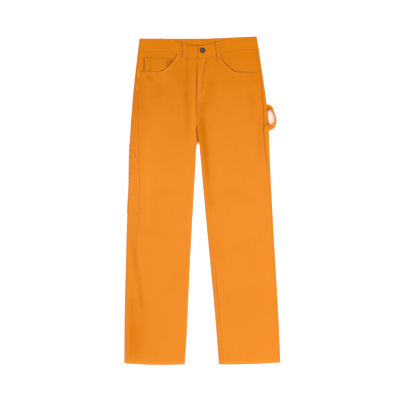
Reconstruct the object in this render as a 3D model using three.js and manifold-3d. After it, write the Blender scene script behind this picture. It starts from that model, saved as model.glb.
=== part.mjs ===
// Carpenter trousers in corduroy, laid flat on their back with the front up.
// Millimetres. +X is to the wearer's left, +Y to the waist and +Z up from the surface that they lie on.
// The origin is under the middle of the box that holds them, on that surface.
// Every cut piece of cloth is a wall of its own, and pieces stop a seam gap short of each other.
import * as THREE from "three";
import { mergeVertices } from "three/addons/utils/BufferGeometryUtils.js";
import Module from "manifold-3d";

// Cloth
const wall = 1.6;
const seamGap = 0.3;
const facingWall = 1.3;
const pocketWall = 1.2;

// Lines that both legs share. Across a leg, distances are counted outwards from the centre front.
const centreX = -15.4;
const crotchY = 233;
const edgeThickness = 5.2; // both layers where the cloth folds round a leg's side
const foldRadius = edgeThickness / 2;
const crownSpread = 46; // how far from a side fold the leg reaches its full thickness

// Waistband
const band = {
  wall: 2.4,
  height: 41,
  top: { right: 528.6, left: 534.8 }, // at the wearer's right and left side
  level: 30, // how far from the middle the left side's rise begins
  frontDip: 24, // how much lower the front's middle lies than the back's
  dipReach: { right: 112, left: 135 },
  frontZ: 5.6,
  overlapZ: 8.4, // the buttoned end, which lies on the other
  overlapStart: 72,
  overlapFull: 34,
  underlap: 24,
};

// The wearer's right leg: its side folds, and how far inside the outer one the outseam lies on top.
const rightLeg = {
  name: "right",
  side: -1,
  hem: { outer: -530.2, middle: -534.8, inner: -532 },
  inseamUnder: 4, // the inseam lies under the leg, this far past its inner fold
  outline: [
    { y: 528, outer: 189, inner: 0.35 },
    { y: 458, outer: 197.8, inner: 0.35 },
    { y: 370, outer: 207.6, inner: 0.35 },
    { y: 256, outer: 217.3, inner: 0.35 },
    { y: 233, outer: 218.6, inner: 0.35 },
    { y: 197, outer: 220.5, inner: 0.35 },
    { y: 185, outer: 221, inner: 2.4 },
    { y: 113, outer: 223.8, inner: 7.2 },
    { y: -20, outer: 228.4, inner: 15.1 },
    { y: -200, outer: 233.6, inner: 24.9 },
    { y: -330, outer: 236.8, inner: 30.7 },
    { y: -430, outer: 238.2, inner: 35.2 },
    { y: -530, outer: 238.8, inner: 41.5 },
  ],
  outseam: [
    { y: 528, inset: 8 },
    { y: 458, inset: 11 },
    { y: 370, inset: 15 },
    { y: 260, inset: 25 },
    { y: 113, inset: 31 },
    { y: -41, inset: 37 },
    { y: -140, inset: 31 },
    { y: -300, inset: 26 },
    { y: -530, inset: 20 },
  ],
};

// The wearer's left leg, which lies a little further out.
const leftLeg = {
  name: "left",
  side: 1,
  hem: { outer: -526, middle: -531.6, inner: -532.4 },
  inseamOver: 11.4, // the inseam lies on top, this far past the inner fold's round
  outline: [
    { y: 534.8, outer: 191.9, inner: 0.35 },
    { y: 490, outer: 199.4, inner: 0.35 },
    { y: 425, outer: 209.1, inner: 0.35 },
    { y: 334, outer: 222.1, inner: 0.35 },
    { y: 263, outer: 230.6, inner: 0.35 },
    { y: 233, outer: 232, inner: 0.35 },
    { y: 197, outer: 232.8, inner: 0.35 },
    { y: 185, outer: 233.1, inner: 3.6 },
    { y: 61, outer: 238.4, inner: 15.8 },
    { y: -121, outer: 248.1, inner: 32.1 },
    { y: -342, outer: 261.1, inner: 51.9 },
    { y: -530, outer: 269.6, inner: 68.7 },
  ],
  outseam: [
    { y: 534.8, inset: 9 },
    { y: 425, inset: 16 },
    { y: 300, inset: 16 },
    { y: 215, inset: 18 },
    { y: 100, inset: 9 },
    { y: -50, inset: 6 },
    { y: -530, inset: 6 },
  ],
};

// Both layers' thickness along the middle of a leg.
const crown = [
  { y: 534.8, thickness: 5.5 },
  { y: 487, thickness: 5.5 },
  { y: 400, thickness: 6.8 },
  { y: 240, thickness: 7 },
  { y: 0, thickness: 6.6 },
  { y: -300, thickness: 6.2 },
  { y: -530, thickness: 5.4 },
];

// The largest folds in the front: a ridge has a rise above 0, a trough one below.
const folds = [
  { leg: rightLeg, a0: 11, y0: 425, a1: 12, y1: 200, rise: 1.7, spread: 8 }, // beside the fly
  { leg: rightLeg, a0: 38, y0: 445, a1: 35, y1: 215, rise: -1.2, spread: 12 },
  { leg: rightLeg, a0: 215, y0: -150, a1: 182, y1: -370, rise: -1.3, spread: 13 }, // above the hem
  { leg: leftLeg, a0: 17, y0: 285, a1: 42, y1: 130, rise: -1.6, spread: 12 }, // inner thigh
  { leg: leftLeg, a0: 45, y0: 130, a1: 52, y1: -40, rise: -0.9, spread: 12 },
  { leg: leftLeg, a0: 199, y0: 268, a1: 202, y1: 128, rise: -1, spread: 12 }, // beside the outseam
];

// What lies under a leg's outer side lifts the leg, so that the underside stays flat.
const underlays = [
  { leg: rightLeg, reach: 48, high: 215, low: -60, lift: seamGap + pocketWall }, // tool pocket
  { leg: leftLeg, reach: 32, high: 325, low: 285, lift: 2.6 }, // hammer loop's upper end
];
const underlayFade = 34;

// Front pockets: each mouth is scooped from the waistband down and out to the outseam.
const mouths = {
  right: { start: 67, floorStart: 123, depth: 58, fall: 0 },
  left: { start: 70, floorStart: 124, depth: 59, fall: 4 },
  power: 1.4,
  points: 12,
  facingUnder: 16, // how far the facing goes on under the front
};
const coinPocket = { outer: 173.8, inner: 101.6, topOuter: 466.5, topInner: 461.5, clear: 0.6 };
const fly = { topWidth: 28, lowWidth: 21, low: 337, turn: 24, rise: 1.2, blur: 4 };

// Tool pocket, on the wearer's right outer leg: it runs from the outseam round the side and under.
const toolPocket = {
  under: 40,
  low: -41.4,
  rows: 8,
  mouth: [120, 147, 174, 177, 179, 182, 184, 195, 204], // its level in each column, from the outseam
};

// Belt loops at the front, each given by the middle of its top and bottom
const beltLoop = { width: 12.5, wall: 1.9, above: 1, below: 5, bulge: 1.1, steps: 8 };
const beltLoops = [
  { name: "belt_loop_right", topX: -59.5, lowX: -58.5 },
  { name: "belt_loop_left", topX: 48.5, lowX: 52.5 },
];

// Button: a metal cap on a short shank
const button = { x: 0.6, y: 488.4, radius: 8.5, shankRadius: 4.6, shank: 0.9, cap: 2.6, facets: 28 };

// Hammer loop: a strap from the outseam, out over the side, up beside the leg and back in under it.
// turn is how far its outer face has turned from up (0) towards outwards (90).
const strap = { width: 22, wall: 2.2, steps: 44 };
const strapRoute = [
  { x: 200.4, y: 238.2, z: 7.1, turn: 0 },
  { x: 208.6, y: 237.8, z: 7.4, turn: 0 },
  { x: 219, y: 238, z: 8.6, turn: 8 },
  { x: 229.6, y: 242.4, z: 10, turn: 36 },
  { x: 236.4, y: 255.6, z: 10, turn: 58 },
  { x: 235.2, y: 270.4, z: 10, turn: 66 },
  { x: 231, y: 285, z: 10, turn: 72 },
  { x: 225.4, y: 296.6, z: 8, turn: 48 },
  { x: 217.6, y: 302.6, z: 2.3, turn: 5 },
  { x: 208.6, y: 304.6, z: 1.1, turn: 0 },
  { x: 196.4, y: 305, z: 1.1, turn: 0 },
];

const wasm = await Module();
wasm.setup();

const clamp01 = (t) => Math.min(1, Math.max(0, t));
const smooth = (t) => clamp01(t) ** 2 * (3 - 2 * clamp01(t));
const lerp = THREE.MathUtils.lerp;

// One column of a table at level y, on a smooth curve through its rows, which run from high to low.
function look(table, column, y) {
  const last = table.length - 1;
  if (y >= table[0].y) return table[0][column];
  if (y <= table[last].y) return table[last][column];
  let k = 0;
  while (y < table[k + 1].y) k += 1;
  const slope = (i, j) => (table[j][column] - table[i][column]) / (table[j].y - table[i].y);
  const step = table[k + 1].y - table[k].y;
  const t = (y - table[k].y) / step;
  const m0 = slope(Math.max(k - 1, 0), k + 1) * step;
  const m1 = slope(k, Math.min(k + 2, last)) * step;
  const p0 = table[k][column];
  const p1 = table[k + 1][column];
  return (
    (2 * t ** 3 - 3 * t ** 2 + 1) * p0 +
    (t ** 3 - 2 * t ** 2 + t) * m0 +
    (3 * t ** 2 - 2 * t ** 3) * p1 +
    (t ** 3 - t ** 2) * m1
  );
}

// The first and the last row's level, before they are laid along the waistband and the hem
const highest = 488;
const lowest = -530;

// The waistband's upper edge at the back, and how much lower it lies at the front
function waistAt(leg, a) {
  return lerp(band.top.right, band.top[leg.name], clamp01((a - band.level) / (190 - band.level)));
}

function bandDip(leg, a) {
  return (band.frontDip * (1 + Math.cos(Math.PI * clamp01(Math.abs(a) / band.dipReach[leg.name])))) / 2;
}

// The form of a leg

const outerFold = (leg, y) => look(leg.outline, "outer", y);
const innerFold = (leg, y) => look(leg.outline, "inner", y);
const outseamAt = (leg, y) => outerFold(leg, y) - look(leg.outseam, "inset", y);

// How far a point is from the leg's nearer side fold. Above the crotch there is no inner fold.
function fromSide(leg, a, y) {
  const inner = a - innerFold(leg, y) + Math.max(0, y - crotchY) * 0.6;
  return Math.max(0, Math.min(outerFold(leg, y) - a, inner) - foldRadius);
}

function bottomHeight(leg, a, y) {
  let height = 0;
  for (const u of underlays) {
    if (u.leg !== leg) continue;
    const inwards = outerFold(leg, y) - u.reach - a;
    const along = Math.max(y - u.high, u.low - y);
    height = Math.max(height, u.lift * (1 - smooth(Math.max(inwards, along) / underlayFade)));
  }
  return height;
}

function foldHeight(leg, a, y) {
  let height = 0;
  for (const f of folds) {
    if (f.leg !== leg) continue;
    const along = { a: f.a1 - f.a0, y: f.y1 - f.y0 };
    const t = ((a - f.a0) * along.a + (y - f.y0) * along.y) / (along.a ** 2 + along.y ** 2);
    const across = Math.hypot(a - lerp(f.a0, f.a1, clamp01(t)), y - lerp(f.y0, f.y1, clamp01(t)));
    const fade = smooth(4 * (1 - Math.abs(2 * clamp01(t) - 1))) * 0.7 + 0.3;
    height += f.rise * fade * Math.exp(-((across / f.spread) ** 2));
  }
  return height * smooth(fromSide(leg, a, y) / 14);
}

// The fly's double cloth, which ends in a quarter turn towards the seam
function flyRise(a, y) {
  const turned = clamp01((fly.low + fly.turn - y) / fly.turn);
  const width = lerp(fly.lowWidth, fly.topWidth, clamp01((y - fly.low) / 130)) * Math.sqrt(1 - turned ** 2);
  return fly.rise * smooth((width - a) / fly.blur + 0.5) * smooth((y - fly.low) / fly.blur);
}

function topHeight(leg, a, y) {
  const full = look(crown, "thickness", y);
  const spread = smooth(fromSide(leg, a, y) / crownSpread);
  const flat = lerp(edgeThickness, full, spread) + foldHeight(leg, a, y);
  return bottomHeight(leg, a, y) + flat + (leg === leftLeg ? flyRise(a, y) : 0);
}

// Points (a, z) round a side fold, turning from one angle to another. "out" is +1 at the outer fold.
function foldArc(leg, y, out, from, to, count = 12) {
  const edge = out > 0 ? outerFold(leg, y) : innerFold(leg, y);
  const middle = edge - out * foldRadius;
  const low = bottomHeight(leg, middle, y);
  const points = [];
  for (let k = 0; k <= count; k++) {
    const angle = THREE.MathUtils.degToRad(lerp(from, to, k / count));
    const a = middle + out * foldRadius * Math.cos(angle);
    points.push({ a, z: low + foldRadius * (1 + Math.sin(angle)) });
  }
  return points;
}

// Points along the leg's top or bottom from one distance to another
function flatRun(height, leg, y, from, to, count = 60) {
  const points = [];
  for (let k = 0; k <= count; k++) {
    const a = lerp(from, to, k / count);
    points.push({ a, z: height(leg, a, y) });
  }
  return points;
}

const shareOfWrap = (y) => smooth((crotchY - 6 - y) / 50);

// The front's section at level y, on its outer face, from the outseam to the centre or the inseam.
function frontSection(leg, y) {
  const start = outseamAt(leg, y) - seamGap / 2;
  const innerTop = innerFold(leg, y) + foldRadius;
  if (y > crotchY) return flatRun(topHeight, leg, y, start, seamGap / 2);
  if (leg.inseamOver) {
    const end = innerTop + leg.inseamOver * shareOfWrap(y) + seamGap / 2;
    return flatRun(topHeight, leg, y, start, end);
  }
  return [
    ...flatRun(topHeight, leg, y, start, innerTop),
    ...foldArc(leg, y, -1, 90, -90).slice(1),
    { a: innerTop + leg.inseamUnder - seamGap / 2, z: 0 },
  ];
}

// The back's section, from the outseam round the side and along the underside.
function backSection(leg, y) {
  const outerTop = outerFold(leg, y) - foldRadius;
  const innerTop = innerFold(leg, y) + foldRadius;
  const side = [
    ...flatRun(topHeight, leg, y, outseamAt(leg, y) + seamGap / 2, outerTop, 8),
    ...foldArc(leg, y, 1, 90, -90).slice(1),
  ];
  if (y > crotchY) return [...side, ...flatRun(bottomHeight, leg, y, outerTop, seamGap / 2).slice(1)];
  if (leg.inseamUnder) {
    const end = innerTop + leg.inseamUnder + seamGap / 2;
    return [...side, ...flatRun(bottomHeight, leg, y, outerTop, end).slice(1)];
  }
  const end = innerTop + leg.inseamOver * shareOfWrap(y) - seamGap / 2;
  return [
    ...side,
    ...flatRun(bottomHeight, leg, y, outerTop, innerTop).slice(1),
    ...foldArc(leg, y, -1, -90, 90).slice(1),
    ...(end > innerTop ? flatRun(topHeight, leg, y, innerTop, end, 6).slice(1) : []),
  ];
}

// The point and the direction at a distance along a section
function alongSection(points, distance) {
  let left = distance;
  for (let k = 0; k < points.length - 1; k++) {
    const step = Math.hypot(points[k + 1].a - points[k].a, points[k + 1].z - points[k].z);
    if (left <= step || k === points.length - 2) {
      const t = step ? Math.min(left / step, 1) : 0;
      return {
        a: lerp(points[k].a, points[k + 1].a, t),
        z: lerp(points[k].z, points[k + 1].z, t),
        da: (points[k + 1].a - points[k].a) / step,
        dz: (points[k + 1].z - points[k].z) / step,
      };
    }
    left -= step;
  }
}

const lengthOf = (points) =>
  points.slice(1).reduce((sum, p, k) => sum + Math.hypot(p.a - points[k].a, p.z - points[k].z), 0);

// Distances of a section's columns: some at fixed places from each end, and the rest evenly between.
function columnStops(length, nearStart, between, nearEnd) {
  const first = nearStart[nearStart.length - 1];
  const last = length - nearEnd[nearEnd.length - 1];
  const middle = Array.from({ length: between }, (_, k) => lerp(first, last, (k + 1) / (between + 1)));
  return [...nearStart, ...middle, ...nearEnd.map((d) => length - d).reverse()];
}

// The hem's level, which bows a little between a leg's sides
function hemLevel(leg, a) {
  const inner = innerFold(leg, lowest);
  const share = clamp01((a - inner) / (outerFold(leg, lowest) - inner));
  const bow = leg.hem.middle - (leg.hem.outer + leg.hem.inner) / 2;
  return lerp(leg.hem.inner, leg.hem.outer, share) + bow * 4 * share * (1 - share);
}

// Moves a row's level so that the first row lies along the waistband and the last along the hem.
function levelAt(leg, a, y, dips) {
  const top = waistAt(leg, a) - band.height - seamGap - (dips ? bandDip(leg, a) : 0);
  const nearTop = 1 - smooth((highest - y) / 150);
  const nearHem = 1 - smooth((y - lowest) / 120);
  return y + (top - highest) * nearTop + (hemLevel(leg, a) - lowest) * nearHem;
}

function rowLevels() {
  const hips = Array.from({ length: 11 }, (_, k) => lerp(highest, crotchY + 6, k / 10));
  const legs = Array.from({ length: 20 }, (_, k) => lerp(crotchY - 6, lowest, (k / 19) ** 1.15));
  return [...hips, ...legs];
}

// A panel's grid: its outer points, each with the direction (na, nz) into the leg.
// inward is 1 where the inside lies to one hand of the run, and -1 where it lies to the other.
function panelGrid(leg, section, stopsAt, inward, dips) {
  return rowLevels().map((level) => {
    const points = section(leg, level);
    return stopsAt(leg, level, lengthOf(points)).map((distance) => {
      const p = alongSection(points, distance);
      const na = -p.dz * inward;
      const nz = p.da * inward;
      const y = levelAt(leg, p.a, level, dips);
      return { a: p.a, y, z: p.z, na, nz };
    });
  });
}

const place = (leg, a, y, z) => new THREE.Vector3(centreX + leg.side * a, y, z);

// A grid's points moved inwards by a depth, and never below the surface that the trousers lie on
function layer(leg, grid, depth) {
  const moved = (p) => place(leg, p.a + p.na * depth, p.y, Math.max(0, p.z + p.nz * depth));
  return grid.map((row) => row.map(moved));
}

// Solids

function geometryOf(points, faces) {
  const geometry = new THREE.BufferGeometry();
  const numbers = points.flatMap((p) => [p.x, p.y, p.z]);
  geometry.setAttribute("position", new THREE.Float32BufferAttribute(numbers, 3));
  geometry.setIndex(faces);
  return geometry;
}

function signedVolume(points, faces) {
  let sum = 0;
  for (let k = 0; k < faces.length; k += 3) {
    const [p, q, r] = [points[faces[k]], points[faces[k + 1]], points[faces[k + 2]]];
    sum += p.dot(q.clone().cross(r)) / 6;
  }
  return sum;
}

// A closed wall between two grids of the same size
function wallBetween(outer, inner) {
  const rows = outer.length;
  const columns = outer[0].length;
  const points = [...outer.flat(), ...inner.flat()];
  const id = (face, j, i) => face * rows * columns + j * columns + i;
  const faces = [];
  const quad = (p, q, r, s) => faces.push(p, q, r, p, r, s);
  for (let j = 0; j < rows - 1; j++) {
    for (let i = 0; i < columns - 1; i++) {
      quad(id(0, j, i), id(0, j + 1, i), id(0, j + 1, i + 1), id(0, j, i + 1));
      quad(id(1, j, i), id(1, j, i + 1), id(1, j + 1, i + 1), id(1, j + 1, i));
    }
  }
  for (let i = 0; i < columns - 1; i++) {
    quad(id(0, 0, i), id(0, 0, i + 1), id(1, 0, i + 1), id(1, 0, i));
    quad(id(0, rows - 1, i), id(1, rows - 1, i), id(1, rows - 1, i + 1), id(0, rows - 1, i + 1));
  }
  for (let j = 0; j < rows - 1; j++) {
    quad(id(0, j, 0), id(1, j, 0), id(1, j + 1, 0), id(0, j + 1, 0));
    const last = columns - 1;
    quad(id(0, j, last), id(0, j + 1, last), id(1, j + 1, last), id(1, j, last));
  }
  if (signedVolume(points, faces) < 0) faces.reverse();
  return geometryOf(points, faces);
}

function solidOf(geometry) {
  const bare = new THREE.BufferGeometry();
  bare.setAttribute("position", geometry.getAttribute("position"));
  bare.setIndex(geometry.index);
  const merged = mergeVertices(bare, 1e-4);
  const mesh = new wasm.Mesh({
    numProp: 3,
    vertProperties: new Float32Array(merged.attributes.position.array),
    triVerts: new Uint32Array(merged.index.array),
  });
  return new wasm.Manifold(mesh);
}

function geometryFrom(solid) {
  const mesh = solid.getMesh();
  const geometry = new THREE.BufferGeometry();
  geometry.setAttribute("position", new THREE.Float32BufferAttribute(mesh.vertProperties, 3));
  geometry.setIndex(new THREE.Uint32BufferAttribute(mesh.triVerts, 1));
  return geometry;
}

// An upright prism over an outline given as (a, y) on one leg's side
function prism(leg, outline) {
  const shape = new THREE.Shape(outline.map((p) => new THREE.Vector2(centreX + leg.side * p.a, p.y)));
  const geometry = new THREE.ExtrudeGeometry(shape, { depth: 40, bevelEnabled: false });
  geometry.translate(0, 0, -10);
  return solidOf(geometry);
}

// Front panels and their pockets

// Columns stand close at the outseam, at the fly's edge and round the inner fold.
const frontStops = {
  right: (leg, y, length) => columnStops(length, [0, 9], 8, [0, 4, 6, 8.1, 10.2, 12.2, 20, 31]),
  left: (leg, y, length) => columnStops(length, [0, 9], 8, [0, 9, 18, 22, 27, 36]),
};

// Columns stand close round both folds, and at the tool pocket's edge under the leg.
function backStops(leg, y, length) {
  const arc = Math.PI * foldRadius;
  const top = look(leg.outseam, "inset", y) - foldRadius;
  const nearStart = [0, top / 2, top, top + arc / 4, top + arc / 2, top + (arc * 3) / 4, top + arc];
  nearStart.push(top + arc + toolPocket.under / 2, top + arc + toolPocket.under);
  if (leg.inseamUnder) return columnStops(length, nearStart, 3, [0, 24]);
  const over = leg.inseamOver;
  const nearEnd = [0, over / 2, over, over + arc / 4, over + arc / 2, over + arc, 34];
  return columnStops(length, nearStart, 3, nearEnd);
}

// The scooped mouth's edge, from the waistband to past the outseam, moved out by "grow"
function mouthEdge(leg, grow) {
  const mouth = mouths[leg.name];
  const across = mouth.floorStart - mouth.start;
  const top = waistAt(leg, mouth.start) - band.height - bandDip(leg, mouth.start);
  const points = [];
  for (let k = 0; k <= mouths.points; k++) {
    const angle = (Math.PI / 2) * (k / mouths.points);
    const da = across * Math.cos(angle) ** (2 / mouths.power);
    const dy = mouth.depth * Math.sin(angle) ** (2 / mouths.power);
    points.push({ a: mouth.floorStart - da - grow, y: top - dy - grow });
  }
  points.push({ a: outerFold(leg, 420) + 20, y: top - mouth.depth - mouth.fall - grow });
  return points;
}

function mouthPrism(leg, grow) {
  const edge = mouthEdge(leg, grow);
  const high = band.top.left;
  return prism(leg, [{ a: edge[0].a, y: high }, ...edge, { a: edge[edge.length - 1].a, y: high }]);
}

const frontGrids = {
  right: panelGrid(rightLeg, frontSection, frontStops.right, 1, true),
  left: panelGrid(leftLeg, frontSection, frontStops.left, 1, true),
};
const backGrids = {
  right: panelGrid(rightLeg, backSection, backStops, -1, false),
  left: panelGrid(leftLeg, backSection, backStops, -1, false),
};

function front(leg) {
  const grid = frontGrids[leg.name];
  const sheet = solidOf(wallBetween(layer(leg, grid, 0), layer(leg, grid, wall)));
  return geometryFrom(sheet.subtract(mouthPrism(leg, 0)));
}

function back(leg) {
  const grid = backGrids[leg.name];
  return wallBetween(layer(leg, grid, 0), layer(leg, grid, wall));
}

// A thin layer under the front's top rows, cut to an outline
function frontLayer(leg, depth, thickness, outline) {
  const rows = frontGrids[leg.name].slice(0, 6);
  const sheet = solidOf(wallBetween(layer(leg, rows, depth), layer(leg, rows, depth + thickness)));
  return sheet.intersect(outline);
}

function pocketFacing(leg) {
  const outline = mouthPrism(leg, mouths.facingUnder);
  return geometryFrom(frontLayer(leg, wall + seamGap, facingWall, outline));
}

// The coin pocket, a patch on the right facing as far as the mouth's edge
function coinPatch() {
  const c = coinPocket;
  const outline = prism(rightLeg, [
    { a: c.outer, y: c.topOuter },
    { a: c.inner, y: c.topInner },
    { a: c.inner, y: c.topInner - 60 },
    { a: c.outer, y: c.topInner - 60 },
  ]);
  const inMouth = outline.intersect(mouthPrism(rightLeg, -c.clear));
  return geometryFrom(frontLayer(rightLeg, wall - pocketWall, pocketWall, inMouth));
}

// Waistband: one long strip from the end under the button, round the back to the buttoned end

// The height of the band's face at the front, which rises where it laps over
function bandFrontZ(side, a) {
  if (side < 0) return band.frontZ;
  const away = (a - band.overlapFull) / (band.overlapStart - band.overlapFull);
  return lerp(band.overlapZ, band.frontZ, smooth(away));
}

// One line round the band on its outer face, a share of its height below its top edge
function bandLine(share) {
  const radius = band.frontZ / 2;
  const sideOf = (leg) => outerFold(leg, band.top[leg.name] - band.height * share) - radius;
  const point = (leg, a, z, na, nz, dips) => {
    const y = waistAt(leg, a) - band.height * share - (dips ? bandDip(leg, a) : 0);
    return { leg, a, y, z, na, nz };
  };
  const line = [];
  const topSteps = 12;
  for (let k = 0; k <= topSteps; k++) {
    const a = lerp(-band.underlap, sideOf(rightLeg), k / topSteps);
    line.push(point(rightLeg, a, band.frontZ, 0, -1, true));
  }
  const arc = (leg, from, to) => {
    for (let k = 1; k <= 5; k++) {
      const angle = THREE.MathUtils.degToRad(lerp(from, to, k / 6));
      const a = sideOf(leg) + radius * Math.cos(angle);
      const z = radius * (1 + Math.sin(angle));
      line.push(point(leg, a, z, -Math.cos(angle), -Math.sin(angle), true));
    }
  };
  arc(rightLeg, 90, -90);
  const backSteps = 6;
  for (let k = 0; k <= backSteps; k++) {
    line.push(point(rightLeg, lerp(sideOf(rightLeg), 0, k / backSteps), 0, 0, 1, false));
  }
  for (let k = 1; k <= backSteps; k++) {
    line.push(point(leftLeg, lerp(0, sideOf(leftLeg), k / backSteps), 0, 0, 1, false));
  }
  arc(leftLeg, -90, 90);
  for (let k = 0; k <= topSteps; k++) {
    const a = lerp(sideOf(leftLeg), 0.6, k / topSteps);
    line.push(point(leftLeg, a, bandFrontZ(1, a), 0, -1, true));
  }
  return line;
}

function waistband() {
  const lines = [0, 0.5, 1].map(bandLine);
  const face = (depth) =>
    lines.map((line) => line.map((p) => place(p.leg, p.a + p.na * depth, p.y, p.z + p.nz * depth)));
  return wallBetween(face(0), face(band.wall));
}

// The band's upper edge at the front, and its height there
function bandTopAt(x) {
  const leg = x < centreX ? rightLeg : leftLeg;
  const a = Math.abs(x - centreX);
  return { y: waistAt(leg, a) - bandDip(leg, a), z: bandFrontZ(leg.side, a) };
}

// A belt loop: a strip that stands a little off the band between its two ends
function beltLoopAt(loop) {
  const top = bandTopAt(loop.topX).y + beltLoop.above;
  const low = bandTopAt(loop.lowX).y - band.height - beltLoop.below;
  const face = (depth) =>
    Array.from({ length: beltLoop.steps + 1 }, (_, k) => {
      const t = k / beltLoop.steps;
      const x = lerp(loop.topX, loop.lowX, t);
      const bulge = beltLoop.bulge * Math.sin(Math.PI * t) ** 0.7;
      const z = bandTopAt(x).z + 0.4 + 1.2 * smooth((t - 0.8) / 0.2) + bulge + depth;
      return [-1, 1].map((s) => new THREE.Vector3(x + (s * beltLoop.width) / 2, lerp(top, low, t), z));
    });
  return wallBetween(face(beltLoop.wall), face(0));
}

// The button's cap has a rolled rim round a dished middle with a small stud.
function buttonGeometry() {
  const r = button.radius;
  const top = button.shank + button.cap;
  const profile = [
    [0, 0],
    [button.shankRadius, 0],
    [button.shankRadius, button.shank],
    [r - 0.7, button.shank],
    [r, button.shank + 0.7],
    [r, top - 1],
    [r - 0.8, top - 0.1],
    [r - 1.8, top],
    [r - 2.8, top - 0.5],
    [r - 3.3, top - 0.9],
    [2.6, top - 0.9],
    [2.2, top - 0.4],
    [0, top - 0.3],
  ].map(([x, y]) => new THREE.Vector2(x, y));
  const geometry = new THREE.LatheGeometry(profile, button.facets);
  geometry.rotateX(Math.PI / 2);
  const z = bandFrontZ(1, button.x - centreX) + seamGap;
  geometry.translate(button.x, button.y, z);
  return geometry;
}

// The back's surface in one of its columns at level y
function backPoint(grid, i, y) {
  let j = 0;
  while (j < grid.length - 2 && grid[j + 1][i].y > y) j += 1;
  const [p, q] = [grid[j][i], grid[j + 1][i]];
  const t = (y - p.y) / (q.y - p.y);
  const mix = (key) => lerp(p[key], q[key], t);
  return { a: mix("a"), y, z: mix("z"), na: mix("na"), nz: mix("nz") };
}

// A patch made from the back's own points, from the outseam round the side and under
function toolPocketPatch() {
  const grid = backGrids.right;
  const rows = [];
  for (let r = 0; r <= toolPocket.rows; r++) {
    const down = r / toolPocket.rows;
    rows.push(toolPocket.mouth.map((mouth, i) => backPoint(grid, i, lerp(mouth, toolPocket.low, down))));
  }
  return wallBetween(layer(rightLeg, rows, -seamGap - pocketWall), layer(rightLeg, rows, -seamGap));
}

// The strap's section swept along its route, turning as it goes
function hammerLoop() {
  const route = new THREE.CatmullRomCurve3(strapRoute.map((p) => new THREE.Vector3(p.x, p.y, p.z)));
  const turns = strapRoute.map((p, k) => ({ y: -k, turn: p.turn }));
  const rows = [];
  for (let k = 0; k <= strap.steps; k++) {
    const t = k / strap.steps;
    const middle = route.getPoint(t);
    const ahead = route.getTangent(t);
    const turn = THREE.MathUtils.degToRad(look(turns, "turn", -t * (strapRoute.length - 1)));
    const outwards = new THREE.Vector3(-ahead.y, ahead.x, 0).normalize().negate();
    const normal = new THREE.Vector3(0, 0, Math.cos(turn)).addScaledVector(outwards, Math.sin(turn));
    normal.addScaledVector(ahead, -normal.dot(ahead)).normalize();
    const across = ahead.clone().cross(normal);
    const half = (strap.width * Math.abs(across.z) + strap.wall * Math.abs(normal.z)) / 2;
    middle.z = Math.max(middle.z, half);
    rows.push({ middle, normal, across });
  }
  const face = (out) =>
    rows.map(({ middle, normal, across }) =>
      [-1, 1].map((s) =>
        middle
          .clone()
          .addScaledVector(normal, (out * strap.wall) / 2)
          .addScaledVector(across, (s * strap.width) / 2),
      ),
    );
  return wallBetween(face(1), face(-1));
}

// Materials

const corduroy = new THREE.MeshStandardMaterial({ color: 0xe8841c, roughness: 0.95, metalness: 0 });
const gunmetal = new THREE.MeshStandardMaterial({ color: 0x4c463c, roughness: 0.4, metalness: 0.9 });

const trousers = new THREE.Group();

function add(name, geometry, material = corduroy) {
  const mesh = new THREE.Mesh(geometry, material);
  mesh.name = name;
  trousers.add(mesh);
}

for (const leg of [leftLeg, rightLeg]) {
  add("front_" + leg.name, front(leg));
  add("back_" + leg.name, back(leg));
  add("pocket_facing_" + leg.name, pocketFacing(leg));
}
add("coin_pocket", coinPatch());
add("waistband", waistband());
for (const loop of beltLoops) add(loop.name, beltLoopAt(loop));
add("tool_pocket", toolPocketPatch());
add("hammer_loop", hammerLoop());
add("button", buttonGeometry(), gunmetal);

export default trousers;
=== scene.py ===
import math

import bpy
import numpy as np
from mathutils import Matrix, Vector


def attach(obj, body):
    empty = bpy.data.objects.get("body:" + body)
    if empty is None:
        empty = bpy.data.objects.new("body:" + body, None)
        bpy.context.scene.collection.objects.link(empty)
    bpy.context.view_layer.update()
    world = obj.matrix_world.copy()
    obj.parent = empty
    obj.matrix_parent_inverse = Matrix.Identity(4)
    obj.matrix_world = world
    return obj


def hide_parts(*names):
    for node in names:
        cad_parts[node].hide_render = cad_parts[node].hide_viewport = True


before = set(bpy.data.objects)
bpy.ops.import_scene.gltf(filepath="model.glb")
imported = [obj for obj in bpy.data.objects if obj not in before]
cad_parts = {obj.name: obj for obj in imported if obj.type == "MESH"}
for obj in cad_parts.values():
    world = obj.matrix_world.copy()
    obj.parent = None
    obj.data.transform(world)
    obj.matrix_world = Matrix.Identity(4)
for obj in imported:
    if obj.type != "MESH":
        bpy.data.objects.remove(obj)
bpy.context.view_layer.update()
print("frame loaded:", len(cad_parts), "solids")

# Everything below is worked out in millimetres, and meshes are scaled to metres when they are made.
# Across a leg, a is counted outwards from the centre front. y runs up to the waist.
toMetres = 0.001
centreX = -15.4

cut = {
    "cloth": 1.35,  # how thick one layer is drawn
    "crotch": 233,
    "edge": 4.6,  # both layers at a side fold
    "sideSpread": 8,
    "crownSpread": 46,
    "waistRight": 527.4,
    "waistLeft": 534.2,
    "waistLevel": 30,  # how far from the centre the waist's edge stays level
    "bandHeight": 41,
    "frontDip": 24,
    "dipReachRight": 112,
    "dipReachLeft": 135,
    "hem": 12,  # how deep the hem is turned, up to its row of stitches
    "unevenness": 0.3,
    "pucker": 0.12,  # how far the sewn seams draw the cloth in
    "centreRise": 1.1,  # how far the right front's edge stands up beside the button
    "liftFade": 34,
    "legTop": 488,  # the level where a leg's rows start, before they follow the waistband
    "hemLevel": -530,
}
foldRadius = cut["edge"] / 2
upwards = Vector((0, 0, 1))


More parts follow.
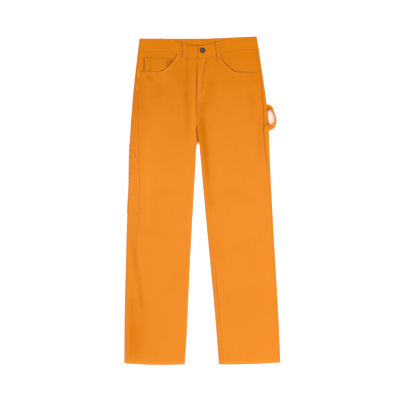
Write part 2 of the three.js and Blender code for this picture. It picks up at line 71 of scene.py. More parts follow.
def throughRows(rows, column):
    # a smooth curve through one column of a table whose rows run from high to low
    ys = np.array([r[0] for r in rows], float)
    vs = np.array([r[column] for r in rows], float)
    last = len(ys) - 1
    fineY, fineV = [ys[0]], [vs[0]]
    for k in range(last):
        step = ys[k + 1] - ys[k]
        j, m = max(k - 1, 0), min(k + 2, last)
        s0 = (vs[k + 1] - vs[j]) / (ys[k + 1] - ys[j]) * step
        s1 = (vs[m] - vs[k]) / (ys[m] - ys[k]) * step
        for t in np.linspace(0, 1, 25)[1:]:
            a, b = 2 * t**3 - 3 * t**2 + 1, t**3 - 2 * t**2 + t
            fineY.append(ys[k] + step * t)
            fineV.append(a * vs[k] + b * s0 + (1 - a) * vs[k + 1] + (t**3 - t**2) * s1)
    fineY, fineV = np.array(fineY[::-1]), np.array(fineV[::-1])
    return lambda y: np.interp(y, fineY, fineV)


def smooth(t):
    t = np.clip(t, 0, 1)
    return t * t * (3 - 2 * t)


def blend(a, b, t):
    return a + (b - a) * t


def bell(distance, width):
    # 1 on a line, fading to nothing beside it
    return np.exp(-((distance / width) ** 2))


def between(rows, at):
    # straight lines through a table's two columns
    places, values = zip(*sorted(rows))
    return np.interp(at, places, values)


def unit(vectors):
    return vectors / np.maximum(np.linalg.norm(vectors, axis=-1, keepdims=True), 1e-9)


def alongPoints(points):
    # each point's distance from the first one, along the row
    return np.concatenate([[0], np.cumsum(np.linalg.norm(np.diff(points, axis=0), axis=1))])


rightOutline = [  # y, outer fold, inner fold
    (528, 189, -0.05), (458, 197.8, -0.05), (370, 207.6, -0.05), (256, 217.3, -0.45), (233, 218.6, -0.2),
    (197, 220.5, -0.05), (189, 220.8, 0.5), (185, 221, 2.3), (178, 221.2, 4), (113, 222.8, 7.2),
    (50, 223.8, 11), (15, 225.6, 13), (-20, 227.6, 15.1), (-80, 230.2, 18.4), (-200, 233.6, 24.9),
    (-330, 236.8, 30.7), (-430, 238.2, 35.2), (-530, 238.8, 41.5),
]
rightOutseam = [  # y, how far inside the outer fold the seam lies on top
    (528, 8), (458, 11), (370, 15), (260, 25), (113, 31), (-41, 37), (-140, 31), (-300, 26), (-530, 20),
]
leftOutline = [
    (534.8, 191.9, -0.05), (490, 199.4, -0.05), (425, 209.1, -0.05), (334, 222.1, -0.05), (263, 230.6, -0.05),
    (233, 232, -0.05), (197, 232.8, -0.05), (189, 233, 0.7), (185, 233.1, 3.2), (178, 233.4, 5.8),
    (61, 238.4, 16.4), (-121, 248.1, 33.2), (-342, 261.1, 54), (-530, 269.6, 69.4),
]
leftOutseam = [(534.8, 8), (425, 8.8), (358, 10.4), (300, 13.5), (215, 18), (100, 9), (-50, 6), (-530, 6)]
crownRows = [(534.8, 5.5), (487, 5.5), (400, 6.8), (240, 7), (0, 6.6), (-300, 6.2), (-530, 5.4)]
crownAt = throughRows(crownRows, 1)

# Folds as (a, y) from one end to the other, then how much they rise and how wide they spread.
# The first three of each leg are in the solids too. The rest are softer.
rightFolds = [
    (12, 425, 13, 190, 1.0, 8),
    (38, 450, 35, 215, -1.6, 10),
    (214, -130, 182, -360, -1.7, 9),
    (222, -300, 214, -520, -1.2, 15),
    (180, -360, 186, -470, -0.7, 14),
    (168, 404, 146, 380, -0.6, 6),
    (150, 392, 120, 352, 0.4, 9),
    (24, 262, 92, 300, -0.55, 7),
    (18, 236, 96, 262, 0.45, 8),
    (16, 214, 84, 204, -0.4, 7),
    (60, 40, 150, 12, -0.4, 14),
    (70, -20, 168, -60, 0.35, 16),
    (90, -120, 180, -96, -0.3, 15),
    (62, -230, 110, -300, -0.35, 14),
    (110, -400, 80, -500, 0.3, 16),
]
leftFolds = [
    (12, 325, 14, 205, -2.6, 14),
    (14, 205, 27, 75, -2.4, 12),
    (27, 75, 40, -20, -1.4, 10),
    (199, 268, 202, 128, -1.0, 12),
    (26, 246, 98, 290, -0.5, 7),
    (30, 214, 110, 238, 0.4, 9),
    (64, 300, 118, 362, 0.35, 11),
    (178, 352, 196, 300, 0.4, 9),
    (66, -30, 60, -210, -0.5, 13),
    (92, 30, 186, 4, -0.35, 15),
    (100, -40, 200, -70, 0.35, 16),
    (110, -150, 214, -120, -0.3, 15),
    (86, -300, 120, -420, -0.35, 15),
    (230, -380, 214, -500, 0.3, 12),
]
# Zones of painted light and painted shade on the nap, written like the folds
rightShadingZones = [
    (60, 430, 58, 372, -0.4, 24),
    (46, 400, 42, 330, -0.35, 12),
    (36, 350, 34, 296, -0.35, 11),
    (166, 406, 143, 388, -0.9, 5),
    (132, 382, 130, 330, -0.6, 16),
    (184, 398, 188, 290, -0.5, 12),
    (107, 420, 104, 384, 0.7, 20),
    (150, 270, 140, 180, 0.3, 32),
    (16, 250, 18, 180, 0.3, 8),
    (200, -300, 195, -530, -0.5, 44),
    (222, -300, 214, -520, 0.3, 12),
    (210, -400, 200, -500, -0.6, 20),
    (79, 455, 71, 441, -0.9, 4),
]
leftShadingZones = [
    (40, 396, 36, 306, -0.7, 17),
    (16, 262, 20, 190, -1.7, 9),
    (22, 186, 28, 140, -0.9, 13),
    (28, 130, 34, 70, -0.4, 9),
    (176, 425, 190, 380, -0.5, 18),
    (88, 376, 92, 240, 0.4, 28),
    (150, 300, 140, 170, 0.3, 30),
    (10, 456, 8, 330, 0.7, 6),
]
# The underside lies flat, so its folds only go up into the leg.
rightUnder = [
    (40, 330, 120, 250, 1.0, 9),
    (60, 60, 160, 20, 1.1, 10),
    (70, -140, 170, -120, 0.9, 10),
    (150, -300, 120, -440, 0.8, 12),
    (120, 420, 150, 330, 0.8, 10),
]
leftUnder = [
    (44, 300, 130, 268, 1.0, 9),
    (80, 50, 190, 84, 1.1, 10),
    (96, -130, 190, -170, 0.9, 10),
    (160, -280, 180, -430, 0.8, 12),
    (100, 430, 130, 350, 0.8, 10),
]


def makeLeg(name, side, outline, outseam, folds, shadingZones, under, hemLine, axis, lifts, inseamOver=0.0,
            inseamUnder=0.0):
    return {
        "name": name,
        "side": side,
        "outer": throughRows(outline, 1),
        "inner": throughRows(outline, 2),
        "inset": throughRows(outseam, 1),
        "folds": folds,
        "shadingZones": shadingZones,
        "under": under,
        "hemLine": hemLine,  # y at the hem's outer end, middle and inner end
        "axis": axis,  # the crease line, along which the wales run: a at the crotch and at the hem
        "lifts": lifts,  # how far in from the outer fold, between which levels and how high
        "inseamOver": inseamOver,  # how far the inseam lies inside the inner fold, on top
        "inseamUnder": inseamUnder,  # the same underneath
    }


rightLeg = makeLeg("right", -1, rightOutline, rightOutseam, rightFolds, rightShadingZones, rightUnder,
                   (-528.6, -534, -532), (110, 140), [(48, 215, -60, 1.5)], inseamUnder=4)
leftLeg = makeLeg("left", 1, leftOutline, leftOutseam, leftFolds, leftShadingZones, leftUnder,
                  (-526, -531.6, -532.4), (116, 169), [(32, 325, 285, 2.6)], inseamOver=11.4)
legs = (rightLeg, leftLeg)


def outseamAt(leg, y):
    return leg["outer"](y) - leg["inset"](y)


def axisAt(leg, y):
    top, low = leg["axis"]
    return top + (low - top) * (cut["crotch"] - y) / (cut["crotch"] - cut["hemLevel"])


def waistAt(leg, a):
    side = cut["waistRight"] if leg["side"] < 0 else cut["waistLeft"]
    return blend(cut["waistRight"], side, np.clip((a - cut["waistLevel"]) / (190 - cut["waistLevel"]), 0, 1))


def dipAt(leg, a):
    reach = cut["dipReachRight"] if leg["side"] < 0 else cut["dipReachLeft"]
    return cut["frontDip"] * (1 + np.cos(np.pi * np.clip(np.abs(a) / reach, 0, 1))) / 2


def bandEdgeAt(leg, a):
    # the waistband's lower edge in front
    return waistAt(leg, a) - cut["bandHeight"] - dipAt(leg, a)


def fromSide(leg, a, y):
    inner = a - leg["inner"](y) + np.maximum(0, y - cut["crotch"]) * 0.6
    return np.maximum(0, np.minimum(leg["outer"](y) - a, inner) - foldRadius)


def liftAt(leg, a, y):
    # what lies under a leg's outer side lifts it
    height = 0 * a
    for reach, high, low, lift in leg["lifts"]:
        inwards = leg["outer"](y) - reach - a
        along = np.maximum(y - high, low - y)
        height = np.maximum(height, lift * (1 - smooth(np.maximum(inwards, along) / cut["liftFade"])))
    return height


def foldSum(folds, a, y):
    height = 0 * a
    for a0, y0, a1, y1, rise, width in folds:
        t = ((a - a0) * (a1 - a0) + (y - y0) * (y1 - y0)) / ((a1 - a0) ** 2 + (y1 - y0) ** 2)
        t = np.clip(t, 0, 1)
        off = np.hypot(a - blend(a0, a1, t), y - blend(y0, y1, t))
        fade = smooth(4 * (1 - np.abs(2 * t - 1))) * 0.7 + 0.3
        height = height + rise * fade * bell(off, width)
    return height


def ripple(leg, a, y):
    # soft unevenness, other on each leg
    k = 1.7 if leg["side"] < 0 else 4.1
    wave = np.sin(a * 0.043 + y * 0.021 + k) + np.sin(a * 0.027 - y * 0.034 + 2.3 * k)
    wave = wave + 0.7 * np.sin(a * 0.083 + y * 0.012 + 3.1 * k) + 0.6 * np.sin(y * 0.071 - a * 0.031 + k)
    return cut["unevenness"] * wave * 0.5


def pucker(leg, a, y):
    # cloth drawn in along the sewn seams
    seam = outseamAt(leg, y) - a
    side = bell(np.abs(seam) - 4, 3.5)
    wave = np.sin(y * 0.53 + 2 * np.sin(y * 0.043)) + 0.6 * np.sin(y * 0.31 + leg["side"])
    middle = bell(a - 6, 4) * smooth((y - cut["crotch"]) / 20)
    return cut["pucker"] * wave * (side + 0.6 * middle)


fly = {"topWidth": 28, "lowWidth": 21, "low": 337, "turn": 24, "rise": 1.2, "groove": 0.55}


def flyWidth(y):
    turned = np.clip((fly["low"] + fly["turn"] - y) / fly["turn"], 0, 1)
    width = blend(fly["lowWidth"], fly["topWidth"], np.clip((y - fly["low"]) / 130, 0, 1))
    return width * np.sqrt(1 - turned**2)


def flyRise(a, y):
    width = flyWidth(y)
    return fly["rise"] * smooth((width - a) / 4 + 0.5) * smooth((y - fly["low"]) / 4)


flyCrease = [  # y, a: where the cloth creases along the fly's outer row of stitches
    (476, 30.5), (467, 29.9), (438, 25.2), (409, 21), (373, 18.6), (352, 13), (340, 5),
]
flyCreaseAt = throughRows(flyCrease, 1)


def flyGroove(leg, a, y):
    # 1 in the fly's crease, 0 away from it
    if leg["side"] < 0:
        return 0 * a
    tilt = 1 / np.sqrt(1 + ((flyCreaseAt(y + 4) - flyCreaseAt(y - 4)) / 8) ** 2)
    off = (a - flyCreaseAt(np.clip(y, 340, 476))) * tilt
    return bell(off, 1.7) * smooth((y - 338) / 10) * smooth((480 - y) / 10 + 0.3)


def topAt(leg, a, y):
    full = crownAt(y)
    inward = fromSide(leg, a, y)
    crown = 0.5 * (1 - np.exp(-inward / cut["sideSpread"])) + 0.5 * smooth(inward / cut["crownSpread"])
    flat = blend(cut["edge"], full + 0.4, crown)
    soft = smooth(inward / 14)
    height = flat + (foldSum(leg["folds"], a, y) + ripple(leg, a, y)) * soft + pucker(leg, a, y)
    if leg["side"] > 0:
        height = height + flyRise(a, y) - fly["groove"] * flyGroove(leg, a, y)
    else:
        height = height + cut["centreRise"] * bell(a, 7) * smooth((y - 436) / 12)
    return height + liftAt(leg, a, y)


def underAt(leg, a, y):
    inward = smooth((fromSide(leg, a, y) - 4) / 20)
    return np.maximum(0, foldSum(leg["under"], a, y) - 0.12) * inward + liftAt(leg, a, y)


def spread(length, near, count, far):
    # distances of columns: fixed ones from each end, and the rest evenly between
    middle = np.linspace(near[-1], length - far[-1], count + 2)[1:-1]
    return np.concatenate([near, middle, length - np.array(far)[::-1]])


def arcPart(leg, y, out, start, end, radius=foldRadius, low=None):
    edge = leg["outer"](y) if out > 0 else leg["inner"](y)
    middle = edge - out * radius
    angle = np.radians(np.linspace(start, end, 15))
    low = liftAt(leg, np.array([middle]), y)[0] if low is None else low
    return middle + out * radius * np.cos(angle), low + radius * (1 + np.sin(angle))


def run(height, leg, y, start, end, count):
    a = np.linspace(start, end, count + 1)
    return a, height(leg, a, y)


def joined(*parts):
    a = np.concatenate([parts[0][0]] + [p[0][1:] for p in parts[1:]])
    z = np.concatenate([parts[0][1]] + [p[1][1:] for p in parts[1:]])
    return a, z


def wrapShare(y):
    # how far the left front's inner edge has come over, below the crotch
    return smooth((cut["crotch"] - 6 - y) / 50)


def rollAt(y):
    # above the crotch the inner edges roll in gradually
    return foldRadius * smooth((cut["crotch"] + 26 - y) / 26)


def rolledThin(y, rolled, thick):
    # a tight roll is thinner than the cloth
    return np.where(rolled & (y > cut["crotch"]), np.minimum(thick, 0.12 + 0.85 * rollAt(y)), thick)


def frontLine(leg, y):
    # the front's section, from the outseam inwards
    start = outseamAt(leg, y)
    innerTop = leg["inner"](y) + foldRadius
    if y > cut["crotch"]:
        radius = rollAt(y)
        top = run(topAt, leg, y, start, leg["inner"](y) + radius, 150)
        if leg["inseamOver"] or radius < 0.01:
            return top
        arc = arcPart(leg, y, -1, 90, -90, radius, top[1][-1] - 2 * radius)
        end = arc[0][-1] + leg["inseamUnder"] * radius / foldRadius
        return joined(top, arc, (np.array([arc[0][-1], end]), np.repeat(arc[1][-1:], 2)))
    if leg["inseamOver"]:
        return run(topAt, leg, y, start, innerTop + leg["inseamOver"] * wrapShare(y), 150)
    under = (np.array([innerTop, innerTop + leg["inseamUnder"]]), np.zeros(2))
    return joined(run(topAt, leg, y, start, innerTop, 150), arcPart(leg, y, -1, 90, -90), under)


def backLine(leg, y):
    # the back's section, from the outseam outwards and round to the underside
    outerTop = leg["outer"](y) - foldRadius
    innerTop = leg["inner"](y) + foldRadius
    side = joined(run(topAt, leg, y, outseamAt(leg, y), outerTop, 16), arcPart(leg, y, 1, 90, -90))
    if y > cut["crotch"]:
        radius = rollAt(y)
        end = leg["inner"](y) + radius + leg["inseamUnder"] * radius / foldRadius
        under = run(underAt, leg, y, outerTop, end if radius > 0.01 else 0, 120)
        if leg["inseamUnder"] or radius < 0.01:
            return joined(side, under)
        return joined(side, under, arcPart(leg, y, -1, -90, 90, radius, 0))
    if leg["inseamUnder"]:
        end = innerTop + leg["inseamUnder"]
        return joined(side, run(underAt, leg, y, outerTop, end, 120))
    end = innerTop + leg["inseamOver"] * wrapShare(y)
    rest = [run(underAt, leg, y, outerTop, innerTop, 120), arcPart(leg, y, -1, -90, 90)]
    if end > innerTop:
        rest.append(run(topAt, leg, y, innerTop, end, 8))
    return joined(side, *rest)


def alongSection(section):
    return alongPoints(np.stack(section, axis=-1))


def sampled(section, stops):
    gone = alongSection(section)
    return np.interp(stops, gone, section[0]), np.interp(stops, gone, section[1])


def axisStop(leg, level, section, part):
    # how far along a section the crease line is, somewhere in the given part of it
    return np.interp(-axisAt(leg, level), -section[0][part], alongSection(section)[part])


def hemAt(leg, a):
    outer, middle, inner = leg["hemLine"]
    low, high = leg["inner"](cut["hemLevel"]), leg["outer"](cut["hemLevel"])
    share = np.clip((a - low) / (high - low), 0, 1)
    bow = middle - (outer + inner) / 2
    return blend(inner, outer, share) + bow * 4 * share * (1 - share)


def settled(leg, a, level, dips):
    # rows near the ends lie along the waistband and the hem
    top = waistAt(leg, a) - cut["bandHeight"] - (dipAt(leg, a) if dips else 0)
    nearTop = 1 - smooth((cut["legTop"] - level) / 150)
    nearHem = 1 - smooth((level - cut["hemLevel"]) / 120)
    return level + (top - cut["legTop"]) * nearTop + (hemAt(leg, a) - cut["hemLevel"]) * nearHem


def legLevels(top):
    hemRows = [18, 14, 13, 12.4, 11.8, 11, 9, 5, 2.4, 1.2, 0.5, 0]
    crotch, hem = cut["crotch"], cut["hemLevel"]
    above = np.linspace(top, crotch + 2, int((top - crotch) / 5))
    below = np.linspace(crotch - 2, hem + 24, 148)
    return np.concatenate([above, below, [hem + h for h in hemRows]])


seamLean = [  # y, how far the centre seam lies off the middle
    (470, 0), (440, -1.6), (400, -3.2), (350, -4.2), (290, -5.2), (245, -4.6), (215, -2.2), (190, 0.8),
    (170, 0),
]
leanAt = throughRows(seamLean, 1)


def inSpace(leg, a, y, z):
    lean = leanAt(np.clip(y, 170, 470)) * bell(np.asarray(a), 45)
    return np.stack(np.broadcast_arrays(centreX + leg["side"] * a + lean, y, z), axis=-1)


def gridNormals(points):
    return unit(np.cross(np.gradient(points, axis=1), np.gradient(points, axis=0)))


def borderDistance(points):
    # each point's distance along the grid from its west, east, north and south borders
    across = np.linalg.norm(np.diff(points, axis=1), axis=-1)
    along = np.linalg.norm(np.diff(points, axis=0), axis=-1)
    rows, columns = points.shape[:2]
    west = np.concatenate([np.zeros((rows, 1)), np.cumsum(across, axis=1)], axis=1)
    north = np.concatenate([np.zeros((1, columns)), np.cumsum(along, axis=0)], axis=0)
    return {"w": west, "e": west[:, -1:] - west, "n": north, "s": north[-1:] - north}


def roundedBy(distance, width, depth):
    # how far a face sinks towards its border: a quarter of an ellipse
    t = np.clip(distance / width, 0, 1)
    return depth * (1 - np.sqrt(1 - (1 - t) ** 2))


def shell(name, outer, flat, outwards, thick=None, radius=0.5, seams="", distance=None, shade=0.0, wearAndHighlight=None,
          tone=0.0):
    # a closed piece of cloth from the grid of its face. flat is the same grid on the cut piece.
    # Its borders are rounded, and those named in seams are drawn in where the next piece joins.
    thick = cut["cloth"] if thick is None else thick
    normal = gridNormals(outer)
    if (normal * outwards).sum() < 0:
        normal = -normal
    borders = borderDistance(outer)
    borders.update(distance or {})
    sink = 0
    for side, away in borders.items():
        width, depth = (1.2, 0.14) if side in seams else (radius, radius)
        sink = np.maximum(sink, roundedBy(away, width, depth))
    near = np.minimum.reduce(list(borders.values()))
    sink = np.minimum(sink, np.asarray(thick) * 0.46)[..., None]
    wall = np.broadcast_to(np.asarray(thick, float), near.shape)[..., None]
    face = outer - normal * sink
    inside = outer - normal * (wall - sink)
    inside[..., 2] = np.maximum(inside[..., 2], 0)
    face[..., 2] = np.maximum(face[..., 2], 0)
    rows, columns = near.shape
    index = np.arange(rows * columns).reshape(rows, columns)
    quads = np.stack([index[:-1, :-1], index[1:, :-1], index[1:, 1:], index[:-1, 1:]], axis=-1).reshape(-1, 4)
    under = quads[:, ::-1] + rows * columns
    ring = np.concatenate([index[0, :-1], index[:-1, -1], index[-1, :0:-1], index[:0:-1, 0]])
    after = np.roll(ring, -1)
    rim = np.stack([ring, after, after + rows * columns, ring + rows * columns], axis=-1)
    points = np.concatenate([face.reshape(-1, 3), inside.reshape(-1, 3)])
    faces = np.concatenate([quads, under, rim])
    a, b, c, d = (points[faces[:, k]] for k in range(4))
    if (a * np.cross(b, c)).sum() + (a * np.cross(c, d)).sum() < 0:
        faces = faces[:, ::-1]
    uv = np.concatenate([flat.reshape(-1, 2), flat.reshape(-1, 2)]) * toMetres
    # by default the borders are lighter, where the nap wears
    wearAndHighlight = np.clip(1 - near / 5, 0, 1) * 0.22 if wearAndHighlight is None else wearAndHighlight
    values = {"wearAndHighlight": wearAndHighlight + 0 * near, "shade": shade + 0 * near, "tone": tone + 0 * near}
    return meshPiece(name, points, faces, uv, {k: np.tile(v.reshape(-1), 2) for k, v in values.items()})


def meshPiece(name, points, faces, uv=None, values=None):
    mesh = bpy.data.meshes.new(name)
    faces = [tuple(int(i) for i in f) for f in faces]
    mesh.from_pydata((np.asarray(points) * toMetres).tolist(), [], faces)
    if uv is not None:
        layer = mesh.uv_layers.new(name="cut")
        corners = np.zeros(len(mesh.loops), dtype=np.int32)
        mesh.loops.foreach_get("vertex_index", corners)
        layer.data.foreach_set("uv", np.asarray(uv)[corners].astype(np.float32).ravel())
    for key, value in (values or {}).items():
        mesh.attributes.new(key, "FLOAT", "POINT").data.foreach_set("value", value.astype(np.float32))
    mesh.polygons.foreach_set("use_smooth", np.ones(len(mesh.polygons), dtype=bool))
    mesh.validate()
    piece = bpy.data.objects.new(name, mesh)
    bpy.context.scene.collection.objects.link(piece)
    return piece


class Sock:
    # one socket of a material's node tree, or a number, with arithmetic
    def __init__(self, kit, socket):
        self.kit, self.socket = kit, socket

    def math(self, operation, *others):
        return self.kit.add("ShaderNodeMath", {"operation": operation}, [self, *others])

    def __add__(self, other):
        return self.math("ADD", other)

    def __sub__(self, other):
        return self.math("SUBTRACT", other)

    def __rsub__(self, other):
        return self.kit.add("ShaderNodeMath", {"operation": "SUBTRACT"}, [other, self])

    def __mul__(self, other):
        return self.math("MULTIPLY", other)

    def __truediv__(self, other):
        return self.math("DIVIDE", other)

    def __pow__(self, other):
        return self.math("POWER", other)

    __radd__, __rmul__ = __add__, __mul__

    def clamped(self):
        return self.kit.add("ShaderNodeClamp", {}, [self, 0.0, 1.0])


class Kit:
    # makes a material's nodes
    def __init__(self, name):
        self.material = bpy.data.materials.new(name)
        self.material.use_nodes = True
        self.tree = self.material.node_tree
        self.shader = self.tree.nodes["Principled BSDF"]

    def add(self, kind, settings, sockets, out=0):
        node = self.tree.nodes.new(kind)
        for key, value in settings.items():
            setattr(node, key, value)
        pairs = sockets.items() if isinstance(sockets, dict) else enumerate(sockets)
        for key, value in pairs:
            self.join(node.inputs[key], value)
        return Sock(self, node.outputs[out])

    def join(self, entry, value):
        if isinstance(value, Sock):
            self.tree.links.new(value.socket, entry)
        else:
            entry.default_value = value

    def mixColour(self, share, first, second, way="MIX"):
        settings = {"data_type": "RGBA", "blend_type": way}
        return self.add("ShaderNodeMix", settings, {0: share, 6: first, 7: second}, out=2)

    def noise(self, where, scale, detail=2.0, rough=0.5):
        sockets = {"Vector": where, "Scale": scale, "Detail": detail, "Roughness": rough}
        return self.add("ShaderNodeTexNoise", {}, sockets)

    def stretched(self, where, scale):
        return self.add("ShaderNodeVectorMath", {"operation": "MULTIPLY"}, [where, scale])

    def finish(self, fixed=None, **links):
        for name, value in (fixed or {}).items():
            self.shader.inputs[name].default_value = value
        for name, value in links.items():
            self.join(self.shader.inputs[name.replace("_", " ")], value)
        return self.material


corduroy = {
    "wale": 0.0019,  # metres from one wale to the next
    "nap": (0.718, 0.237, 0.024, 1),
    # painted light and shade: the nap is drawn darker at the waist and lighter towards the hem
    "waist": (0.59, 0.175, 0.002, 1),
    "litBelow": 0.5,  # metres up the y axis
    "litRate": 2.3,
    "groove": (0.49, 0.115, 0.003, 1),
    "deep": (0.9, 0.85, 0.6, 1),
    # lighter colour of worn nap, also used for painted highlight
    "wearAndHighlight": (0.84, 0.285, 0.026, 1),
    # painted shade in fold troughs, and painted light on fold ridges
    "trough": (0.86, 0.757, 0.1, 1),
    "foldShade": 0.62,
    "foldLight": 0.12,
    # colour of painted shade where layers meet
    "paintedShade": (0.3, 0.05, 0.002, 1),
    "waleHeight": 0.0005,
    "bumpStrength": 0.4,
    "sheen": 0.04,
    "roughness": 0.86,
}


def corduroyMaterial():
    kit = Kit("corduroy")
    place = kit.add("ShaderNodeUVMap", {"uv_map": "cut"}, [])
    across = kit.add("ShaderNodeSeparateXYZ", {}, [place])
    inSpaceAt = kit.add("ShaderNodeTexCoord", {}, [], out="Object")
    edge = kit.add("ShaderNodeAttribute", {"attribute_name": "wearAndHighlight"}, [], out="Fac")
    dark = kit.add("ShaderNodeAttribute", {"attribute_name": "shade"}, [], out="Fac")

    wander = kit.noise(kit.stretched(place, (3, 9, 1)), 6.0, 1.0)
    turn = across / corduroy["wale"] + (wander - 0.5) * 0.5
    wave = (turn * math.pi).math("SINE").math("ABSOLUTE")
    ridge = wave**0.6
    tufts = kit.noise(kit.stretched(place, (900, 1700, 1)), 1.0, 3.0, 0.65)
    fluff = kit.noise(kit.stretched(place, (3200, 2600, 1)), 1.0, 2.0)
    height = ridge * 0.72 + ridge * tufts * 0.2 + fluff * 0.12

    cloudy = kit.noise(inSpaceAt, 5.0, 3.0, 0.55)
    streaks = kit.noise(kit.stretched(place, (60, 5, 1)), 1.0, 3.0, 0.6)
    tone = ((cloudy - 0.5) * 1.1 + (streaks - 0.5) * 0.6 + 0.5).clamped()
    up = kit.add("ShaderNodeSeparateXYZ", {}, [inSpaceAt], out=1)
    # painted light lower down, painted shade towards the waist
    litShare = ((corduroy["litBelow"] - up) * corduroy["litRate"]).clamped()
    light = kit.mixColour(litShare, corduroy["waist"], corduroy["nap"])
    nap = kit.mixColour(tone * 0.85 + 0.15, kit.mixColour(1.0, light, corduroy["deep"], "MULTIPLY"), light)
    # lighter where the piece's attribute asks: worn nap along edges, painted highlight along the pocket
    # mouths and beside the right back's outseam
    wearAndHighlight = edge * (tufts * 0.9 + 0.35)
    nap = kit.mixColour(wearAndHighlight.clamped(), nap, corduroy["wearAndHighlight"])
    shade = kit.mixColour((1 - ridge) * 0.55 + (1 - tufts) * 0.12, nap, corduroy["groove"])
    # painted shade in fold troughs and painted light on fold ridges, from the tone attribute
    fold = kit.add("ShaderNodeAttribute", {"attribute_name": "tone"}, [], out="Fac")
    trough = kit.mixColour(1.0, shade, corduroy["trough"], "MULTIPLY")
    shade = kit.mixColour((fold * -corduroy["foldShade"]).clamped(), shade, trough)
    shade = kit.mixColour((fold * corduroy["foldLight"]).clamped(), shade, corduroy["wearAndHighlight"])
    # painted shade where layers meet and under edges, from the shade attribute
    colour = kit.mixColour((dark * (0.85 + cloudy * 0.3)).clamped(), shade, corduroy["paintedShade"])

    bump = kit.add("ShaderNodeBump", {}, {
        "Strength": corduroy["bumpStrength"], "Distance": corduroy["waleHeight"], "Height": height,
    })
    rough = corduroy["roughness"] + (tufts - 0.5) * 0.16 - edge * 0.08
    fixed = {"Sheen Weight": corduroy["sheen"], "Sheen Roughness": 0.5, "Sheen Tint": (1, 0.55, 0.2, 1),
             "Specular IOR Level": 0.03}
    return kit.finish(fixed, Base_Color=colour, Roughness=rough, Normal=bump)


thread = {
    "colour": (0.8, 0.28, 0.03, 1),
    "shade": (0.58, 0.16, 0.01, 1),
    "width": 0.62,
    "height": 0.34,
    "stitch": 3.1,
    "gap": 0.75,
    # a stitch's form, as (share, height) along it and across half of it
    "along": ((0, -0.1), (0.16, 0.75), (0.5, 1.0), (0.84, 0.75), (1, -0.1)),
    "around": ((-1, -0.15), (-0.6, 0.6), (0, 1.0), (0.6, 0.6), (1, -0.15)),
}


def threadMaterial():
    kit = Kit("thread")
    where = kit.add("ShaderNodeTexCoord", {}, [], out="Object")
    twist = kit.add("ShaderNodeTexWave", {"wave_type": "BANDS", "bands_direction": "DIAGONAL"},
                    {"Vector": where, "Scale": 1600.0, "Distortion": 0.6}, out="Fac")
    patchy = kit.noise(where, 90.0, 2.0)
    colour = kit.mixColour((twist * 0.6 + patchy * 0.4).clamped(), thread["shade"], thread["colour"])
    bump = kit.add("ShaderNodeBump", {}, {"Strength": 0.4, "Distance": 0.00012, "Height": twist})
    fixed = {"Sheen Weight": 0.05, "Specular IOR Level": 0.2}
    return kit.finish(fixed, Base_Color=colour, Roughness=0.55 + patchy * 0.2, Normal=bump)


clothFinish = corduroyMaterial()
threadFinish = threadMaterial()
print("cloth and thread finishes made")


def dress(piece, finish, slotName, *nodes):
    piece.data.materials.append(finish)
    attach(piece, "root")
    if nodes:
        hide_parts(*nodes)
    return piece


# Stitching: each stitch is a short rounded thread that dips into the cloth at both ends.
stitchRows = {}


def sew(owner, points, normals, width=None, stitch=None, gap=None):
    width, stitch = width or thread["width"], stitch or thread["stitch"]
    gap = thread["gap"] if gap is None else gap
    points, normals = np.asarray(points, float), np.asarray(normals, float)
    gone = alongPoints(points)
    count = max(1, int(gone[-1] / (stitch + gap)))
    pitch = gone[-1] / count
    made, faces = stitchRows.setdefault(owner, ([], []))

    def at(rows, d):
        return np.array([np.interp(d, gone, rows[:, k]) for k in range(3)])

    for n in range(count):
        start = n * pitch + gap / 2
        end = start + pitch - gap
        ahead = unit(at(points, end) - at(points, start))
        first = len(made)
        for t, rise in thread["along"]:
            middle, up = at(points, blend(start, end, t)), unit(at(normals, blend(start, end, t)))
            sideways = np.cross(up, ahead)
            wide = width / 2 * (0.6 if t in (0, 1) else 1)
            for s, h in thread["around"]:
                high = thread["height"] * (h * max(rise, 0) - 0.15 + min(rise, 0))
                made.append(middle + sideways * s * wide + up * high)
        for r in range(4):
            for c in range(4):
                k = first + r * 5 + c
                faces.append((k, k + 5, k + 6, k + 1))
        bottom = [r * 5 for r in range(5)] + [r * 5 + 4 for r in range(4, -1, -1)]
        for ring in (bottom, range(5), range(24, 19, -1)):
            faces.append(tuple(first + k for k in ring))


def onTop(leg, a, y, lift=0.0):
    # points and normals on a leg's top face
    a, y = np.asarray(a, float), np.asarray(y, float)
    z = topAt(leg, a, y)
    dzda = (topAt(leg, a + 0.5, y) - topAt(leg, a - 0.5, y))
    dzdy = (topAt(leg, a, y + 0.5) - topAt(leg, a, y - 0.5))
    normal = np.stack([-leg["side"] * dzda, -dzdy, np.ones_like(z)], axis=-1)
    normal = unit(normal)
    return inSpace(leg, a, y, z) + normal * lift, normal


def barTack(owner, leg, a, y, length, across, lift=0.0, turned=0.0):
    # a short row of close stitches over a seam's end
    count = int(length / 0.55)
    ca, sa = math.cos(turned), math.sin(turned)
    for k in range(count + 1):
        t = (k / count - 0.5) * length
        ends = np.array([(a + t * sa + s * ca, y + t * ca - s * sa) for s in (-across / 2, across / 2)])
        points, normals = onTop(leg, ends[:, 0], ends[:, 1], lift)
        sew(owner, points, normals, width=0.5, stitch=across, gap=0.0)


# Fronts, with the scooped pocket mouths cut out of them
mouths = {
    "right": {
        "start": 67,  # a where it leaves the waistband
        "floorStart": 123,  # a where its scoop ends and its floor begins
        "depth": 58,
        "fall": 0,  # how far its floor falls towards the outseam
        "gape": 0.7,  # how far its edge stands up
        "shade": [  # share of the way from the waistband to the outseam, how dark it is inside
            (0, 0), (0.12, 0.1), (0.2, 0.6), (0.3, 0.7), (0.42, 0.15), (0.55, 0.05), (0.75, 0.3), (1, 0.6),
        ],
        "shadeWidth": 3.0,
    },
    "left": {
        "start": 70,
        "floorStart": 124,
        "depth": 59,
        "fall": 4,
        "gape": 1.5,
        "shade": [
            (0, 0.3), (0.12, 0.8), (0.2, 1.0), (0.5, 1.0), (0.58, 0.6), (0.66, 0.7), (0.74, 0.7), (0.8, 0.3),
            (1, 0.2),
        ],
        "shadeWidth": 3.2,
    },
    "power": 1.4,
    "scoopPoints": 40,
}


